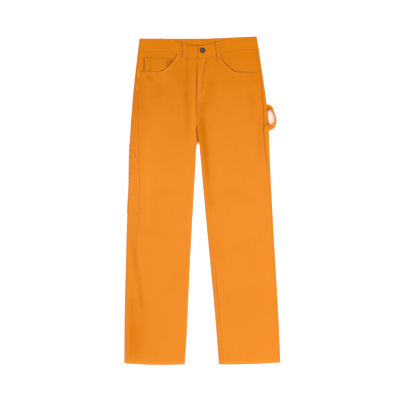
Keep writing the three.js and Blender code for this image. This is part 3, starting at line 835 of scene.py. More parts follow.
def mouthLine(leg):
    # the mouth's edge, from the waistband down and out to the outseam
    mouth, power = mouths[leg["name"]], mouths["power"]
    start = mouth["start"]
    top = float(bandEdgeAt(leg, start))
    angle = np.linspace(0, math.pi / 2, mouths["scoopPoints"])
    a = mouth["floorStart"] - (mouth["floorStart"] - start) * np.abs(np.cos(angle)) ** (2 / power)
    y = top - mouth["depth"] * np.sin(angle) ** (2 / power)
    floor = y[-1]
    seam = float(outseamAt(leg, floor))
    beyond = np.linspace(a[-1], seam, 24)[1:]
    fallen = floor - mouth["fall"] * (beyond - a[-1]) / (float(leg["outer"](420)) + 20 - a[-1])
    return np.concatenate([a, beyond]), np.concatenate([y, fallen])


def insetLine(a, y, distance):
    # a line moved to its inner side, which is down and towards the centre
    da, dy = np.gradient(a), np.gradient(y)
    size = np.maximum(np.hypot(da, dy), 1e-9)
    return a + dy / size * distance, y - da / size * distance


# How dark the seams look along their length, as (y, darkness)
seamShade = {
    "centre": [
        (488, 0.05), (446, 0.1), (436, 0.5), (405, 0.85), (330, 0.85), (300, 0.6), (280, 0.45), (266, 0.05),
        (242, 0.1), (236, 0.8), (196, 0.95), (186, 0.5), (180, 0),
    ],
    "right outseam": [(488, 0.05), (430, 0.05), (395, 0.1), (330, 0.2), (290, 0.1), (100, 0.1), (-530, 0.05)],
    "left outseam": [
        (488, 0.0), (420, 0.05), (390, 0.4), (340, 0.5), (230, 0.55), (150, 0.5), (90, 0.2), (-530, 0.05),
    ],
    "left inseam": [
        (240, 0.05), (60, 0.05), (-250, 0.1), (-290, 0.4), (-330, 0.3), (-420, 0.15), (-530, 0.05),
    ],
    "fly": [(480, 0.6), (450, 0.75), (400, 0.6), (360, 0.5), (338, 0.2)],
}
# painted shade of a short crease under each belt loop
loopCreaseShade = {  # the short crease under each belt loop
    "right": (36, 32),  # a at its top, and a little lower
    "left": (61, 64),
    "top": 470,
    "end": 448,
    "width": 1.8,
    "dark": 0.45,
}


def inseamAt(leg, y):
    return leg["inner"](y) + foldRadius + leg["inseamOver"] * wrapShare(y)


def legShade(leg, a, y):
    # where the layers meet and the light does not reach
    name = leg["name"]
    crease = a - blend(*loopCreaseShade[name], (loopCreaseShade["top"] - y) / 20)
    marks = [
        bell(outseamAt(leg, y) - a, 2.2) * between(seamShade[name + " outseam"], y),
        bell(a, 1.7 + 1.6 * smooth((236 - y) / 4)) * between(seamShade["centre"], y),
        loopCreaseShade["dark"] * bell(crease, loopCreaseShade["width"]) * smooth((y - loopCreaseShade["end"]) / 8),
    ]
    if leg["side"] > 0:
        inseam = bell(a - inseamAt(leg, y), 1.5) * between(seamShade["left inseam"], y)
        marks += [inseam * (y < 236), flyGroove(leg, a, y) * between(seamShade["fly"], y)]
    return np.maximum.reduce(marks)


def legShading(leg, a, y):
    # painted light on a fold's ridge and painted shade in its trough, and the listed zones of painted light
    # and shade
    soft = foldSum(leg["folds"], a, y) / 2.4 + foldSum(leg["shadingZones"], a, y)
    return np.clip(soft, -2, 1) * smooth(fromSide(leg, a, y) / 8 + 0.25)


def gapeAt(leg, a, y):
    # how far the mouth's edge stands up, most in the middle of the scoop
    off, share = mouthOff(leg, a, y)
    return mouths[leg["name"]]["gape"] * smooth(share / 0.25) * smooth((0.8 - share) / 0.3) * bell(off, 8)


def frontColumns(mouthA):
    # each column's a along the mouth and the waist, from the outseam inwards
    out, start = mouthA[-1], mouthA[0]
    near = out - np.array([0, 0.3, 0.8, 1.5, 2.4, 3.4, 5, 7, 9.5])
    last = mouths["scoopPoints"] - 1
    floor = np.linspace(near[-1] - 3, mouthA[last] + 2, 22)
    scoop = mouthA[last::-1][::2]
    waist = np.linspace(start - 1, 36, 15)
    centre = np.concatenate([np.arange(34.8, 3, -1.2), [2.4, 1.6, 0.9, 0.4, 0]])
    return np.concatenate([near, floor, scoop, [start], waist, centre])


# The points of a front's section, and of a back's, among which its leg's crease line lies
frontRun, underRun = slice(0, 140), slice(31, 141)


def frontPanel(leg):
    mouthA, mouthY = mouthLine(leg)
    top = frontColumns(mouthA)
    topY = np.where(top > mouthA[0] + 1e-6, np.interp(top, mouthA, mouthY), bandEdgeAt(leg, top))
    across = 1 - top / top[0]
    rows = []
    joinLevel = 330  # the rows above it follow the mouth, those below it the section
    section = frontLine(leg, joinLevel)
    lowA, _ = sampled(section, across * alongSection(section)[-1])
    gone, share = topY - joinLevel, top / top[0]
    downs = np.array([0, 0.3, 0.8, 1.5, 2.4, 3.6, 5, 6.4, 7.3, 7.9, 8.6, 10])
    for k in range(len(downs) + 40):
        t = downs[k] / gone if k < len(downs) else blend(downs[-1] / gone, 1, (k - len(downs) + 1) / 40)
        y = topY - gone * t
        fromTop, fromLow = top - outseamAt(leg, topY) * share, lowA - outseamAt(leg, joinLevel) * share
        a = outseamAt(leg, y) * share + blend(fromTop, fromLow, t)
        rows.append((a, y, topAt(leg, a, y) + gapeAt(leg, a, y), axisAt(leg, y) - a))
    for level in legLevels(joinLevel)[1:]:
        section = frontLine(leg, level)
        stops = across * alongSection(section)[-1]
        a, z = sampled(section, stops)
        rows.append((a, settled(leg, a, level, True), z, stops - axisStop(leg, level, section, frontRun)))
    a, y, z, u = np.moveaxis(np.array(rows), 1, 0)
    rolled = topAt(leg, a, y) - z > 0.2 * rollAt(y) + 0.01
    z, thick = hemmed(leg, a, y, z)
    thick = rolledThin(y, rolled & (a < 9), thick)
    off, share = mouthOff(leg, a, y)
    distance = {"n": bandEdgeAt(leg, a) - y, "m": off}
    # painted highlight along the mouth's edge, where the nap is also worn
    mouthWearAndHighlight = 0.5 * bell(off, 4.5) * smooth(share / 0.2) * smooth((0.7 - share) / 0.3)
    piece = shell("cloth_front_" + leg["name"], inSpace(leg, a, y, z), np.stack([u, y], axis=-1), upwards,
                  thick, 0.6, seams="wen", distance=distance, shade=legShade(leg, a, y),
                  wearAndHighlight=np.maximum(hemLighter(leg, a, y), mouthWearAndHighlight), tone=legShading(leg, a, y))
    dress(piece, clothFinish, "corduroy", "front_" + leg["name"])


def hemmed(leg, a, y, z):
    # the turned hem: three layers to its row of stitches, which draws the cloth in
    above = y - hemAt(leg, a)
    turned = smooth((cut["hem"] - above) / 1.6 + 0.5)
    drawnIn = 0.25 * turned - 0.35 * bell(above - cut["hem"], 0.9)
    return z + np.where(z > 4, drawnIn, 0.0), cut["cloth"] + 0.9 * turned


# painted highlight beside the right back's outseam
seamHighlightPatches = [(424, 396, 1.7), (384, 356, 1.36)]  # from y, to y, how light
# painted shade on the right back, at the hip and near the hem
backShade = {"hip": 0.45, "hem": 0.2}  # how much darker the nap of the right back looks there


def seamHighlight(leg, a, y):
    # painted highlight on the right back's edge beside the outseam, in two places below the pocket
    places = [light * smooth((high - y) / 5) * smooth((y - low) / 5) for high, low, light in seamHighlightPatches]
    return np.maximum.reduce(places) * bell(a - outseamAt(leg, y) - 2.6, 2.0)


def hemLighter(leg, a, y):
    # lighter along the turned hem, up to its row of stitches
    above = y - hemAt(leg, a)
    return 0.55 * smooth((cut["hem"] - above) / 3 + 0.5)


underColumns = 30


def backStops(leg, level, length):
    arc = math.pi * foldRadius
    top = float(leg["inset"](level)) - foldRadius
    near = [0, 0.25, 0.7, 1.4, 2.4]
    near += [2.4 + (top - 2.4) * t for t in (0.2, 0.4, 0.6, 0.8, 1)]
    near += [top + arc * t for t in (0.17, 0.33, 0.5, 0.67, 0.83, 1)]
    near += [top + arc + d for d in (3, 8, 16, 28, 40)]
    if leg["inseamUnder"]:
        return spread(length, near, underColumns, [0, 0.25, 0.7, 1.4, 3, 6, 12, 24])
    over = max(leg["inseamOver"] * wrapShare(level), 0.9)
    far = [over * t for t in (0, 0.03, 0.07, 0.14, 0.28, 0.48, 0.74, 1)]
    far += [over + arc * t for t in (0.17, 0.33, 0.5, 0.67, 0.83, 1)]
    return spread(length, near, underColumns, far + [over + arc + 4, over + arc + 12])


toolPocket = {
    "mouth": (120, 181, 190, 208),  # its level at the outseam, where the side starts and ends, and underneath
    "under": 40,
    "low": -41.4,
    "off": 0.3,
    "thick": 1.15,
}


def toolShade(leg, a, y):
    # painted shade under the tool pocket's mouth, deepest near the side
    over = a - outseamAt(leg, y)
    off = y - between(zip((0, 31, 36), toolPocket["mouth"]), over)
    return bell(off - 1.8, 3.4) * smooth((over - 5) / 9)


def backPanel(leg):
    top = cut["legTop"]
    rows = []
    for level in np.concatenate([top - np.array([0, 0.25, 0.7, 1.4, 3, 6]), legLevels(top - 10)]):
        section = backLine(leg, float(settled(leg, outseamAt(leg, level), level, False)))
        stops = backStops(leg, level, alongSection(section)[-1])
        a, z = sampled(section, stops)
        rows.append((a, settled(leg, a, level, False), z, stops - axisStop(leg, level, section, underRun)))
    a, y, z, u = np.moveaxis(np.array(rows), 1, 0)
    z, thick = hemmed(leg, a, y, z)
    thick = rolledThin(y, (a < leg["inner"](y) + rollAt(y) + 0.02) & (rollAt(y) > 0.01), thick)
    outer = inSpace(leg, a, y, z)
    outwards = np.zeros_like(outer)
    outwards[..., 2] = np.where(z < 1.5, -1.0, 0.0)
    dark, wearAndHighlight = legShade(leg, a, y) * (z > 0.6), hemLighter(leg, a, y)
    tone = legShading(leg, a, y) * (z > 2)
    # on the right back: painted shade under the tool pocket's mouth, painted highlight beside the outseam
    if leg["side"] < 0:
        dark = np.maximum(dark, toolShade(leg, a, y) * (z > 2.2))
        wearAndHighlight = np.maximum(wearAndHighlight, seamHighlight(leg, a, y) * (z > 2))
        # painted shade at the hip and near the hem
        high, low = smooth((y - 270) / 40) * smooth((440 - y) / 30), smooth((-270 - y) / 30)
        tone = tone - (backShade["hip"] * high + backShade["hem"] * low) * (z > 0.6)
    piece = shell("cloth_back_" + leg["name"], outer, np.stack([u, y], axis=-1), outwards, thick, 0.6,
                  seams="wen", shade=dark, wearAndHighlight=wearAndHighlight, tone=np.clip(tone, -2, 1))
    dress(piece, clothFinish, "corduroy", "back_" + leg["name"])


facing = {"drop": 1.75, "raised": 1.2, "thick": 1.0, "reach": 14}


def facingZ(leg, a, y):
    # the facing lies under the front, and sags inside the mouth
    top, inside = bandEdgeAt(leg, a), outseamAt(leg, y) - a
    sag = smooth((top - y) / 16) * smooth(inside / 22) * (1 - 0.65 * smooth((a - 116) / 16))
    raised = facing["raised"] * bell(top - y, 5) * smooth((a - mouths[leg["name"]]["start"] - 3) / 8)
    drop = (facing["drop"] - raised) * (1 - bell(np.maximum(0, inside), 3))
    return topAt(leg, a, y) - drop - 0.1 - sag - 0.4 * smooth(-inside / 0.6)


def mouthOff(leg, a, y):
    # each point's distance from the mouth's edge, and how far along the mouth that is
    mouthA, mouthY = mouthLine(leg)
    off = np.hypot(a[..., None] - mouthA, y[..., None] - mouthY)
    return off.min(axis=-1), off.argmin(axis=-1) / (len(mouthA) - 1)


def facingShade(leg, a, y):
    # painted shade inside the pocket mouth, and on the right beside and above the coin pocket
    mouth = mouths[leg["name"]]
    off, share = mouthOff(leg, a, y)
    marks = [between(mouth["shade"], share) * bell(off, mouth["shadeWidth"])]
    if leg["side"] < 0:
        top, outer = coinTop(a), coin["outer"]
        corner = smooth((104 - a) / 4) * smooth((462 - y) / 6) * smooth((a - 78) / 6)
        above = bell(y - top - 0.6, 1.6) * (a < outer + 1) * between(coin["topShade"], a)
        marks += [0.9 * bell(a - outer - 1.0, 1.7) * smooth((top + 1 - y) / 2), 0.4 * corner, 0.45 * above]
    return np.maximum.reduce(marks)


def pocketFacing(leg):
    mouth = mouths[leg["name"]]
    inner = mouth["start"] - facing["reach"]
    floor = float(mouthLine(leg)[1][mouths["scoopPoints"]]) - facing["reach"]
    u = np.concatenate([[0, 0.004], np.linspace(0.01, 0.98, 84), [0.986, 0.992, 0.996, 1]])
    rows = []
    for t in np.linspace(0, 1, 48):
        a = blend(inner, float(outseamAt(leg, 450)), u)
        y = blend(bandEdgeAt(leg, a), floor, t)
        a = blend(inner, outseamAt(leg, y) + 1.6, u)
        rows.append(inSpace(leg, a, y, facingZ(leg, a, y)))
    outer = np.array(rows)
    y = outer[..., 1]
    a = (outer[..., 0] - centreX) * leg["side"]
    flat = np.stack([axisAt(leg, y) - a, y], axis=-1)
    piece = shell("cloth_facing_" + leg["name"], outer, flat, upwards, facing["thick"], 0.3, seams="new",
                  shade=facingShade(leg, a, y), wearAndHighlight=0.0)
    dress(piece, clothFinish, "corduroy", "pocket_facing_" + leg["name"])


coin = {
    "outer": 173.8,
    "inner": 101.6,
    "topOuter": 466.5,
    "topInner": 461.5,
    "clear": 0.6,
    "thick": 1.1,
    "lift": 1.2,
    "puff": 0.3,
    # a of a crease that is drawn only as painted shade
    "crease": 155,
    "topShade": [  # a, how dark it is above the patch
        (80, 1), (100, 1), (116, 0.9), (124, 0.3), (148, 0.3), (156, 0.9), (174, 0.5),
    ],
}


def coinTop(a):
    return blend(coin["topInner"], coin["topOuter"], (a - coin["inner"]) / (coin["outer"] - coin["inner"]))


def coinPatch():
    leg = rightLeg
    mouthA, mouthY = mouthLine(leg)
    edge = [0, 0.25, 0.7, 1.4, 2.2, 3]
    span = coin["outer"] - coin["inner"]
    u = np.concatenate([edge, np.linspace(5, span - 5, 28), span - np.array(edge)[::-1]])
    a = coin["inner"] + u
    low = np.interp(a, mouthA, mouthY) + coin["clear"]
    down = np.concatenate([np.array([0, 0.006, 0.017, 0.035, 0.05, 0.07]), np.linspace(0.1, 1, 20)])
    y = blend(coinTop(a)[None, :], low[None, :], down[:, None])
    a = np.broadcast_to(a, y.shape)
    puff = coin["puff"] * np.sin(np.pi * (a - coin["inner"]) / span) * smooth(down[:, None] / 0.2)
    z = facingZ(leg, a, y) + coin["lift"] + puff
    flat = np.stack([axisAt(leg, y) - a, y], axis=-1)
    # painted shade under the mouth's edge, along a crease and along the patch's outer edge
    off, _ = mouthOff(leg, a, y)
    crease = 0.45 * bell(a - coin["crease"], 1.3) * smooth((464 - y) / 5)
    dark = np.maximum.reduce([0.35 * bell(off, 2.2), crease, 0.5 * bell(a - coin["outer"], 1.0)])
    piece = shell("cloth_coin_pocket", inSpace(leg, a, y, z), flat, upwards, coin["thick"], 0.4, shade=dark,
                  wearAndHighlight=0.0)
    dress(piece, clothFinish, "corduroy", "coin_pocket")


for leg in legs:
    frontPanel(leg)
    backPanel(leg)
    pocketFacing(leg)
coinPatch()
print("legs and pockets laid out")


# Waistband
band = {
    "wall": 2.3,
    "frontZ": 5.6,
    "overlapZ": 8.4,
    "overlapStart": 72,
    "overlapFull": 34,
    "underlap": 24,
    "end": 0.6,
    "swell": 2.0,
    "topShade": [  # x, how dark its top edge is
        (-104, 0), (-92, 0.5), (-76, 1), (-60, 1), (-20, 1), (-15, 0),
    ],
}


def bandZ(leg, a):
    if leg["side"] < 0:
        return band["frontZ"] + band["swell"] * smooth((34 - a) / 30)
    away = (a - band["overlapFull"]) / (band["overlapStart"] - band["overlapFull"])
    return blend(band["overlapZ"], band["frontZ"], smooth(away))


def bandSoft(leg, a, share):
    # the band's slight crown and buckles
    k = leg["side"] * 1.3
    wave = np.sin(a * 0.09 + k) + 0.7 * np.sin(a * 0.19 + 2 * k + share * 2)
    return 0.16 * wave + 0.22 * (1 - (2 * share - 1) ** 2)


def bandFace(leg, a, share):
    y = waistAt(leg, a) - cut["bandHeight"] * share - dipAt(leg, a)
    return inSpace(leg, a, y, bandZ(leg, a) + bandSoft(leg, a, share) - 0.2)


def bandLine(share):
    radius = band["frontZ"] / 2
    points, leaning = [], []
    levels = {leg["name"]: cut["waistRight" if leg["side"] < 0 else "waistLeft"] for leg in legs}

    def sideOf(leg):
        return float(leg["outer"](levels[leg["name"]] - cut["bandHeight"] * share)) - radius

    def put(leg, a, z, out, dips):
        y = float(waistAt(leg, a)) - cut["bandHeight"] * share - (float(dipAt(leg, a)) if dips else 0)
        points.append((centreX + leg["side"] * a, y, z))
        leaning.append(out)

    def roundSide(leg, start, end):
        for angle in np.radians(np.linspace(start, end, 15)[1:-1]):
            out, up = math.cos(angle), math.sin(angle)
            put(leg, sideOf(leg) + radius * out, radius * (1 + up), (leg["side"] * out, 0, up), True)

    right = np.concatenate([-band["underlap"] + np.array([0, 0.25, 0.7, 1.4]),
                            np.linspace(-band["underlap"] + 4, sideOf(rightLeg), 56)])
    for a in right:
        z = band["frontZ"] + float(bandSoft(rightLeg, a, share)) * float(smooth(a / 10)) - 0.2
        z += band["swell"] * float(smooth((a + 0.5) / 3) * smooth((34 - a) / 30))
        put(rightLeg, a, z, (0, 0, 1), True)
    roundSide(rightLeg, 90, -90)
    for a in np.linspace(sideOf(rightLeg), 0, 34):
        put(rightLeg, a, 0.0, (0, 0, -1), False)
    for a in np.linspace(0, sideOf(leftLeg), 34)[1:]:
        put(leftLeg, a, 1.9 * float(smooth(a / 40) * smooth((135 - a) / 50)), (0, 0, -1), False)
    roundSide(leftLeg, -90, 90)
    left = np.concatenate([np.linspace(sideOf(leftLeg), band["end"] + 4, 56),
                           band["end"] + np.array([1.4, 0.7, 0.25, 0])])
    for a in left:
        z = float(bandZ(leftLeg, a)) + float(bandSoft(leftLeg, a, share)) - 0.2
        put(leftLeg, a, z, (0, 0, 1), True)
    return np.array(points), np.array(leaning, float)


def waistband():
    height = cut["bandHeight"]
    downs = [0, 0.25, 0.7, 1.4, 2.4, 4, 8, 13, 18, 23, 28, 33, 37, 38.6, 39.6, 40.3, 40.75, 41]
    lines, leaning = zip(*[bandLine(down / height) for down in downs])
    downs = np.array(downs)[:, None]
    outer = np.array(lines)
    flat = np.stack(np.broadcast_arrays(downs, alongPoints(outer[8])), axis=-1)
    # painted shade along the band's top edge, on the right half
    shade = 0.75 * bell(downs, 2.0) * between(band["topShade"], outer[..., 0]) * (outer[..., 2] > 4)
    piece = shell("cloth_waistband", outer, flat, np.array(leaning), band["wall"], 0.7, seams="s",
                  shade=shade, wearAndHighlight=0.05)
    dress(piece, clothFinish, "corduroy", "waistband")


waistband()


def bandRow(leg, share, start, end):
    a = np.linspace(start, end, 90)
    points = bandFace(leg, a, share)
    slope = np.gradient(points[:, 2]) / np.maximum(np.abs(np.gradient(points[:, 0])), 1e-6)
    normal = np.stack([-slope * np.sign(np.gradient(points[:, 0])), 0 * a, np.ones_like(a)], axis=-1)
    return points, unit(normal)


def bandTopAt(x):
    leg = rightLeg if x < centreX else leftLeg
    a = abs(x - centreX)
    return float(waistAt(leg, a) - dipAt(leg, a)), float(bandZ(leg, np.array(a)))


beltLoop = {
    "width": 12.5,
    "thick": 1.8,
    "above": 1.0,
    "below": 5.0,
    "bulge": 1.1,
    "places": {"right": (-59.5, -58.5), "left": (48.5, 52.5)},  # x at its top and at its lower end
}


def beltLoopPiece(name, topX, lowX):
    top = bandTopAt(topX)[0] + beltLoop["above"]
    low = bandTopAt(lowX)[0] - cut["bandHeight"] - beltLoop["below"]
    half = beltLoop["width"] / 2
    edge = -half + np.array([0, 0.25, 0.7, 1.3, 2])
    widths = np.concatenate([edge, np.linspace(-3.4, 3.4, 6), -edge[::-1]])
    downs = np.concatenate([[0, 0.006, 0.016, 0.035, 0.06], np.linspace(0.09, 0.91, 24),
                            [0.94, 0.965, 0.984, 0.994, 1]])
    rows, flat = [], []
    for t in downs:
        x, y = blend(topX, lowX, t), np.full_like(widths, blend(top, low, t))
        bulge = beltLoop["bulge"] * max(math.sin(math.pi * t), 0) ** 0.7
        z = bandTopAt(x)[1] + 0.4 + 1.2 * float(smooth((t - 0.8) / 0.2)) + bulge + beltLoop["thick"]
        tacked = 0.5 * (bell(t - 0.05, 0.03) + bell(t - 0.95, 0.03))
        crown = 0.25 * (1 - (widths / half) ** 2) - 0.12 * bell(np.abs(widths) - 4.3, 0.7)
        rows.append(np.stack([x + widths + 0.25 * math.sin(9 * t + topX), y, z + crown - tacked], axis=-1))
        flat.append(np.stack([widths, y], axis=-1))
    outer = np.array(rows)
    piece = shell("cloth_belt_loop_" + name, outer, np.array(flat), upwards, beltLoop["thick"], 0.8)
    dress(piece, clothFinish, "corduroy", "belt_loop_" + name)
    normal = gridNormals(outer)
    normal = normal * np.sign(normal[..., 2:3])
    for column in (3, -4):
        sew(piece.name, outer[2:-2, column] + (0, 0, 0.02), normal[2:-2, column], stitch=2.6)
    for row in (3, -4):
        for shift in np.linspace(-1.1, 1.1, 5):
            sew(piece.name, outer[row, 2:-2] + (0, shift, 0.05), normal[row, 2:-2], width=0.5, stitch=1.4,
                gap=0.15)


for loopName, loopPlaces in beltLoop["places"].items():
    beltLoopPiece(loopName, *loopPlaces)
print("waistband and belt loops made")


# Tool pocket: a patch on the right back, from the outseam round the side and under
def toolPocketPiece():
    leg = rightLeg
    front = float(leg["inset"](60)) - foldRadius
    side = front + math.pi * foldRadius
    total = side + toolPocket["under"]
    edge = np.array([0, 0.25, 0.7, 1.4, 2.2])
    stops = np.concatenate([edge, [3], np.linspace(5, front, 9), blend(front, side, np.linspace(0.17, 1, 6)),
                            np.linspace(side + 5, total - 3, 9), total - edge[::-1]])
    mouth = between(zip((0, front, side, total), toolPocket["mouth"]), stops)
    downs = np.concatenate([[0, 0.0012, 0.004, 0.008, 0.014, 0.03, 0.05, 0.058, 0.066],
                            np.linspace(0.09, 0.97, 40), [0.985, 0.992, 0.996, 0.9988, 1]])[:, None]
    y = blend(mouth, toolPocket["low"], downs)
    a, z = np.zeros_like(y), np.zeros_like(y)
    for spot, level in np.ndenumerate(y):
        stop, width = stops[spot[1]], float(leg["inset"](level)) - foldRadius
        own = stop * width / front if stop < front else stop - front + width
        a[spot], z[spot] = sampled(backLine(leg, level), own)
    under = inSpace(leg, a, y, z)
    flat = np.stack(np.broadcast_arrays(stops, y), axis=-1)
    normal = gridNormals(under)
    if normal[20, 3, 2] < 0:  # a point on its upper face
        normal = -normal
    puff = 0.25 * smooth((downs - 0.05) / 0.2) * smooth((1 - downs) / 0.1) * smooth((z - 4) / 1.5)
    outer = under + normal * (toolPocket["off"] + toolPocket["thick"] + puff)[..., None]
    outer[..., 2] = np.maximum(outer[..., 2], 0)
    piece = shell("cloth_tool_pocket", outer, flat, normal, toolPocket["thick"], 0.55)
    dress(piece, clothFinish, "corduroy", "tool_pocket")
    sew(piece.name, outer[1:-4, 4], normal[1:-4, 4])
    inner = outer[8:-6, 6] * 0.4 + outer[8:-6, 7] * 0.6
    sew(piece.name, inner, normal[8:-6, 6])
    for row in (4, 8, -4, -7):
        sew(piece.name, outer[row, 3:24], normal[row, 3:24])


toolPocketPiece()

# Hammer loop
strap = {
    "width": 22,
    "thick": 2.1,
    "route": [  # x, y, z and how far its face has turned outwards
        (200.4, 238.2, 7.1, 0), (208.6, 237.8, 7.4, 8), (219, 238.4, 8.6, 28), (229.6, 242.8, 10, 50),
        (236.6, 255.6, 10, 66), (236, 270.4, 10, 71), (231.4, 284.2, 10, 74), (224.6, 295, 8, 60),
        (217.2, 301.2, 2.3, 5), (208.6, 303.2, 1.1, 0), (196.4, 303.6, 1.1, 0),
    ],
}


def smoothRoute(route, count):
    # a smooth curve through the route's rows
    knots = np.array(route, float)
    places = np.linspace(0, len(knots) - 1, count)
    rows = [(-k, *knot) for k, knot in enumerate(knots)]
    return np.stack([throughRows(rows, c + 1)(-places) for c in range(knots.shape[1])], axis=-1)


def hammerLoop():
    route = smoothRoute(strap["route"], 120)
    middle, turn = route[:, :3], np.radians(route[:, 3])
    ahead = unit(np.gradient(middle, axis=0))
    outwards = unit(np.stack([ahead[:, 1], -ahead[:, 0], 0 * turn], axis=-1))
    normal = np.stack([0 * turn, 0 * turn, np.cos(turn)], axis=-1) + outwards * np.sin(turn)[:, None]
    normal = unit(normal - ahead * (normal * ahead).sum(axis=1, keepdims=True))
    across = np.cross(ahead, normal)
    side, thick = strap["width"] / 2, strap["thick"]
    high = side * np.abs(across[:, 2]) + thick / 2 * np.abs(normal[:, 2])
    middle[:, 2] = np.maximum(middle[:, 2], high)
    edge = -side + np.array([0, 0.25, 0.7, 1.4, 2.2, 3.2])
    widths = np.concatenate([edge, np.linspace(-6, 6, 7), -edge[::-1]])
    gone = alongPoints(middle)
    crown = 0.2 * (1 - (widths / side) ** 2) - 0.12 * bell(np.abs(widths) - side + 2.2, 0.7)
    outer = middle[:, None] + across[:, None] * widths[None, :, None]
    outer = outer + normal[:, None] * (thick / 2 - 0.15 + crown)[None, :, None]
    flat = np.stack(np.broadcast_arrays(widths[None, :], gone[:, None]), axis=-1)
    piece = shell("cloth_hammer_loop", outer, flat, normal[:, None], thick, 0.9)
    dress(piece, clothFinish, "corduroy", "hammer_loop")
    for column in (4, -5):
        for face in (1, -1):
            base = middle + across * widths[column] + normal * face * (thick / 2 - 0.1)
            sew(piece.name, base[3:-3], (normal * face)[3:-3])
    for shift in np.linspace(1.2, 3.6, 5):
        row = int(np.searchsorted(gone, shift))
        tack = outer[row, 1:-1] + normal[row] * 0.05
        sew(piece.name, tack, normal[row] + 0 * tack, width=0.5, stitch=1.3, gap=0.15)


hammerLoop()
print("tool pocket and hammer loop made")


# Button: a cap with a rolled rim, a grained dish and a stud, over a buttonhole worked in thread
button = {
    "x": 0.6,
    "y": 488.4,
    "radius": 8.5,
    "shank": 0.9,
    "cap": 2.6,
    "segments": 96,
    "rim": (0.032, 0.019, 0.013, 1),
    "dish": (0.062, 0.07, 0.058, 1),
    "wearAndHighlight": (0.11, 0.12, 0.1, 1),
    "hole": {"length": 21, "width": 4.2, "pitch": 0.62},
}


def buttonMaterial():
    kit = Kit("gunmetal")
    dish = kit.add("ShaderNodeAttribute", {"attribute_name": "dish"}, [], out="Fac")
    where = kit.add("ShaderNodeTexCoord", {}, [], out="Object")
    grain = kit.noise(where, 900.0, 3.0, 0.6)
    spots = kit.noise(where, 260.0, 3.0, 0.6)
    colour = kit.mixColour(dish, button["rim"], button["dish"])
    polished = ((spots - 0.52) * 3).clamped() * 0.5
    colour = kit.mixColour(polished, colour, button["wearAndHighlight"])
    height = grain * 0.6 + spots * 0.4
    bump = kit.add("ShaderNodeBump", {}, {"Strength": 0.35, "Distance": 0.0001, "Height": height})
    return kit.finish({"Metallic": 0.85, "Specular IOR Level": 0.5}, Base_Color=colour,
                      Roughness=0.32 + grain * 0.25, Normal=bump)


def buttonPiece():
    # turned from a profile of distances from the middle and heights
    r, low = button["radius"], button["shank"]
    top = low + button["cap"]
    profile = [
        (0, 0), (4.6, 0), (4.6, low), (r - 0.7, low), (r - 0.25, low + 0.12), (r, low + 0.6), (r, top - 1.1),
        (r - 0.12, top - 0.7), (r - 0.45, top - 0.3), (r - 0.95, top - 0.06), (r - 1.5, top),
        (r - 2.0, top - 0.08), (r - 2.5, top - 0.34), (r - 2.8, top - 0.62), (r - 3.3, top - 0.8),
        (3.6, top - 0.86), (3.0, top - 0.8), (2.6, top - 0.6), (2.2, top - 0.42), (1.4, top - 0.34),
        (0, top - 0.3),
    ]
    count = button["segments"]
    z0 = float(bandZ(leftLeg, np.array(button["x"] - centreX))) + 0.35
    points, dish, faces = [], [], []
    for d, z in profile:
        for angle in np.arange(count) * 2 * math.pi / count:
            points.append((button["x"] + d * math.cos(angle), button["y"] + d * math.sin(angle), z0 + z))
            dish.append(1.0 if d < r - 2.6 and z > low + 0.2 else 0.0)
    for j in range(len(profile) - 1):
        for k in range(count):
            n = (k + 1) % count
            faces.append((j * count + k, j * count + n, (j + 1) * count + n, (j + 1) * count + k))
    piece = meshPiece("button_cap", points, faces, values={"dish": np.array(dish)})
    weld = piece.modifiers.new("weld", "WELD")
    weld.merge_threshold = 1e-6
    dress(piece, buttonMaterial(), "gunmetal", "button")


def buttonhole():
    # close stitches round the slit, which reaches past the button towards the band's end
    hole, start = button["hole"], band["end"] + 4.0
    for a in np.arange(start, start + hole["length"], hole["pitch"]):
        top = float(waistAt(leftLeg, a) - dipAt(leftLeg, a))
        for s in (-1, 1):
            share = [(top - button["y"] - s * off) / cut["bandHeight"] for off in (0.4, hole["width"] / 2)]
            points = np.array([bandFace(leftLeg, np.array(a), h) for h in share])
            sew("cloth_waistband", points, [upwards] * 2, width=0.55, stitch=hole["width"] / 2, gap=0)


buttonPiece()
buttonhole()
print("button and buttonhole made")

# Rows of topstitching, as distances in millimetres from the edge that they follow
topstitch = {
    "mouth": (2.0, 7.9),
    "hemInner": -500,  # the level whose inner edge a front's hem row starts from
    "band": 2.4,
    "fly": (0.0, 6.0),
    "flyTop": 468,
    "seam": 1.8,
    "seamEnd": {"right": 250, "left": 60},  # how low the outseam's row goes
    "centre": ((1.8, 25), (7.0, 8)),  # a, and how far above the crotch the row ends
    "tacks": ((21.5, 36, 8, 0.0), (4.5, -2, 7, math.pi / 2)),  # a, height over the fly's end, length, turn
    "coinTop": (2.2, 8.0),
    "coinSide": (1.8, 7.4),
}
hemRowLevel = cut["hemLevel"] + cut["hem"]


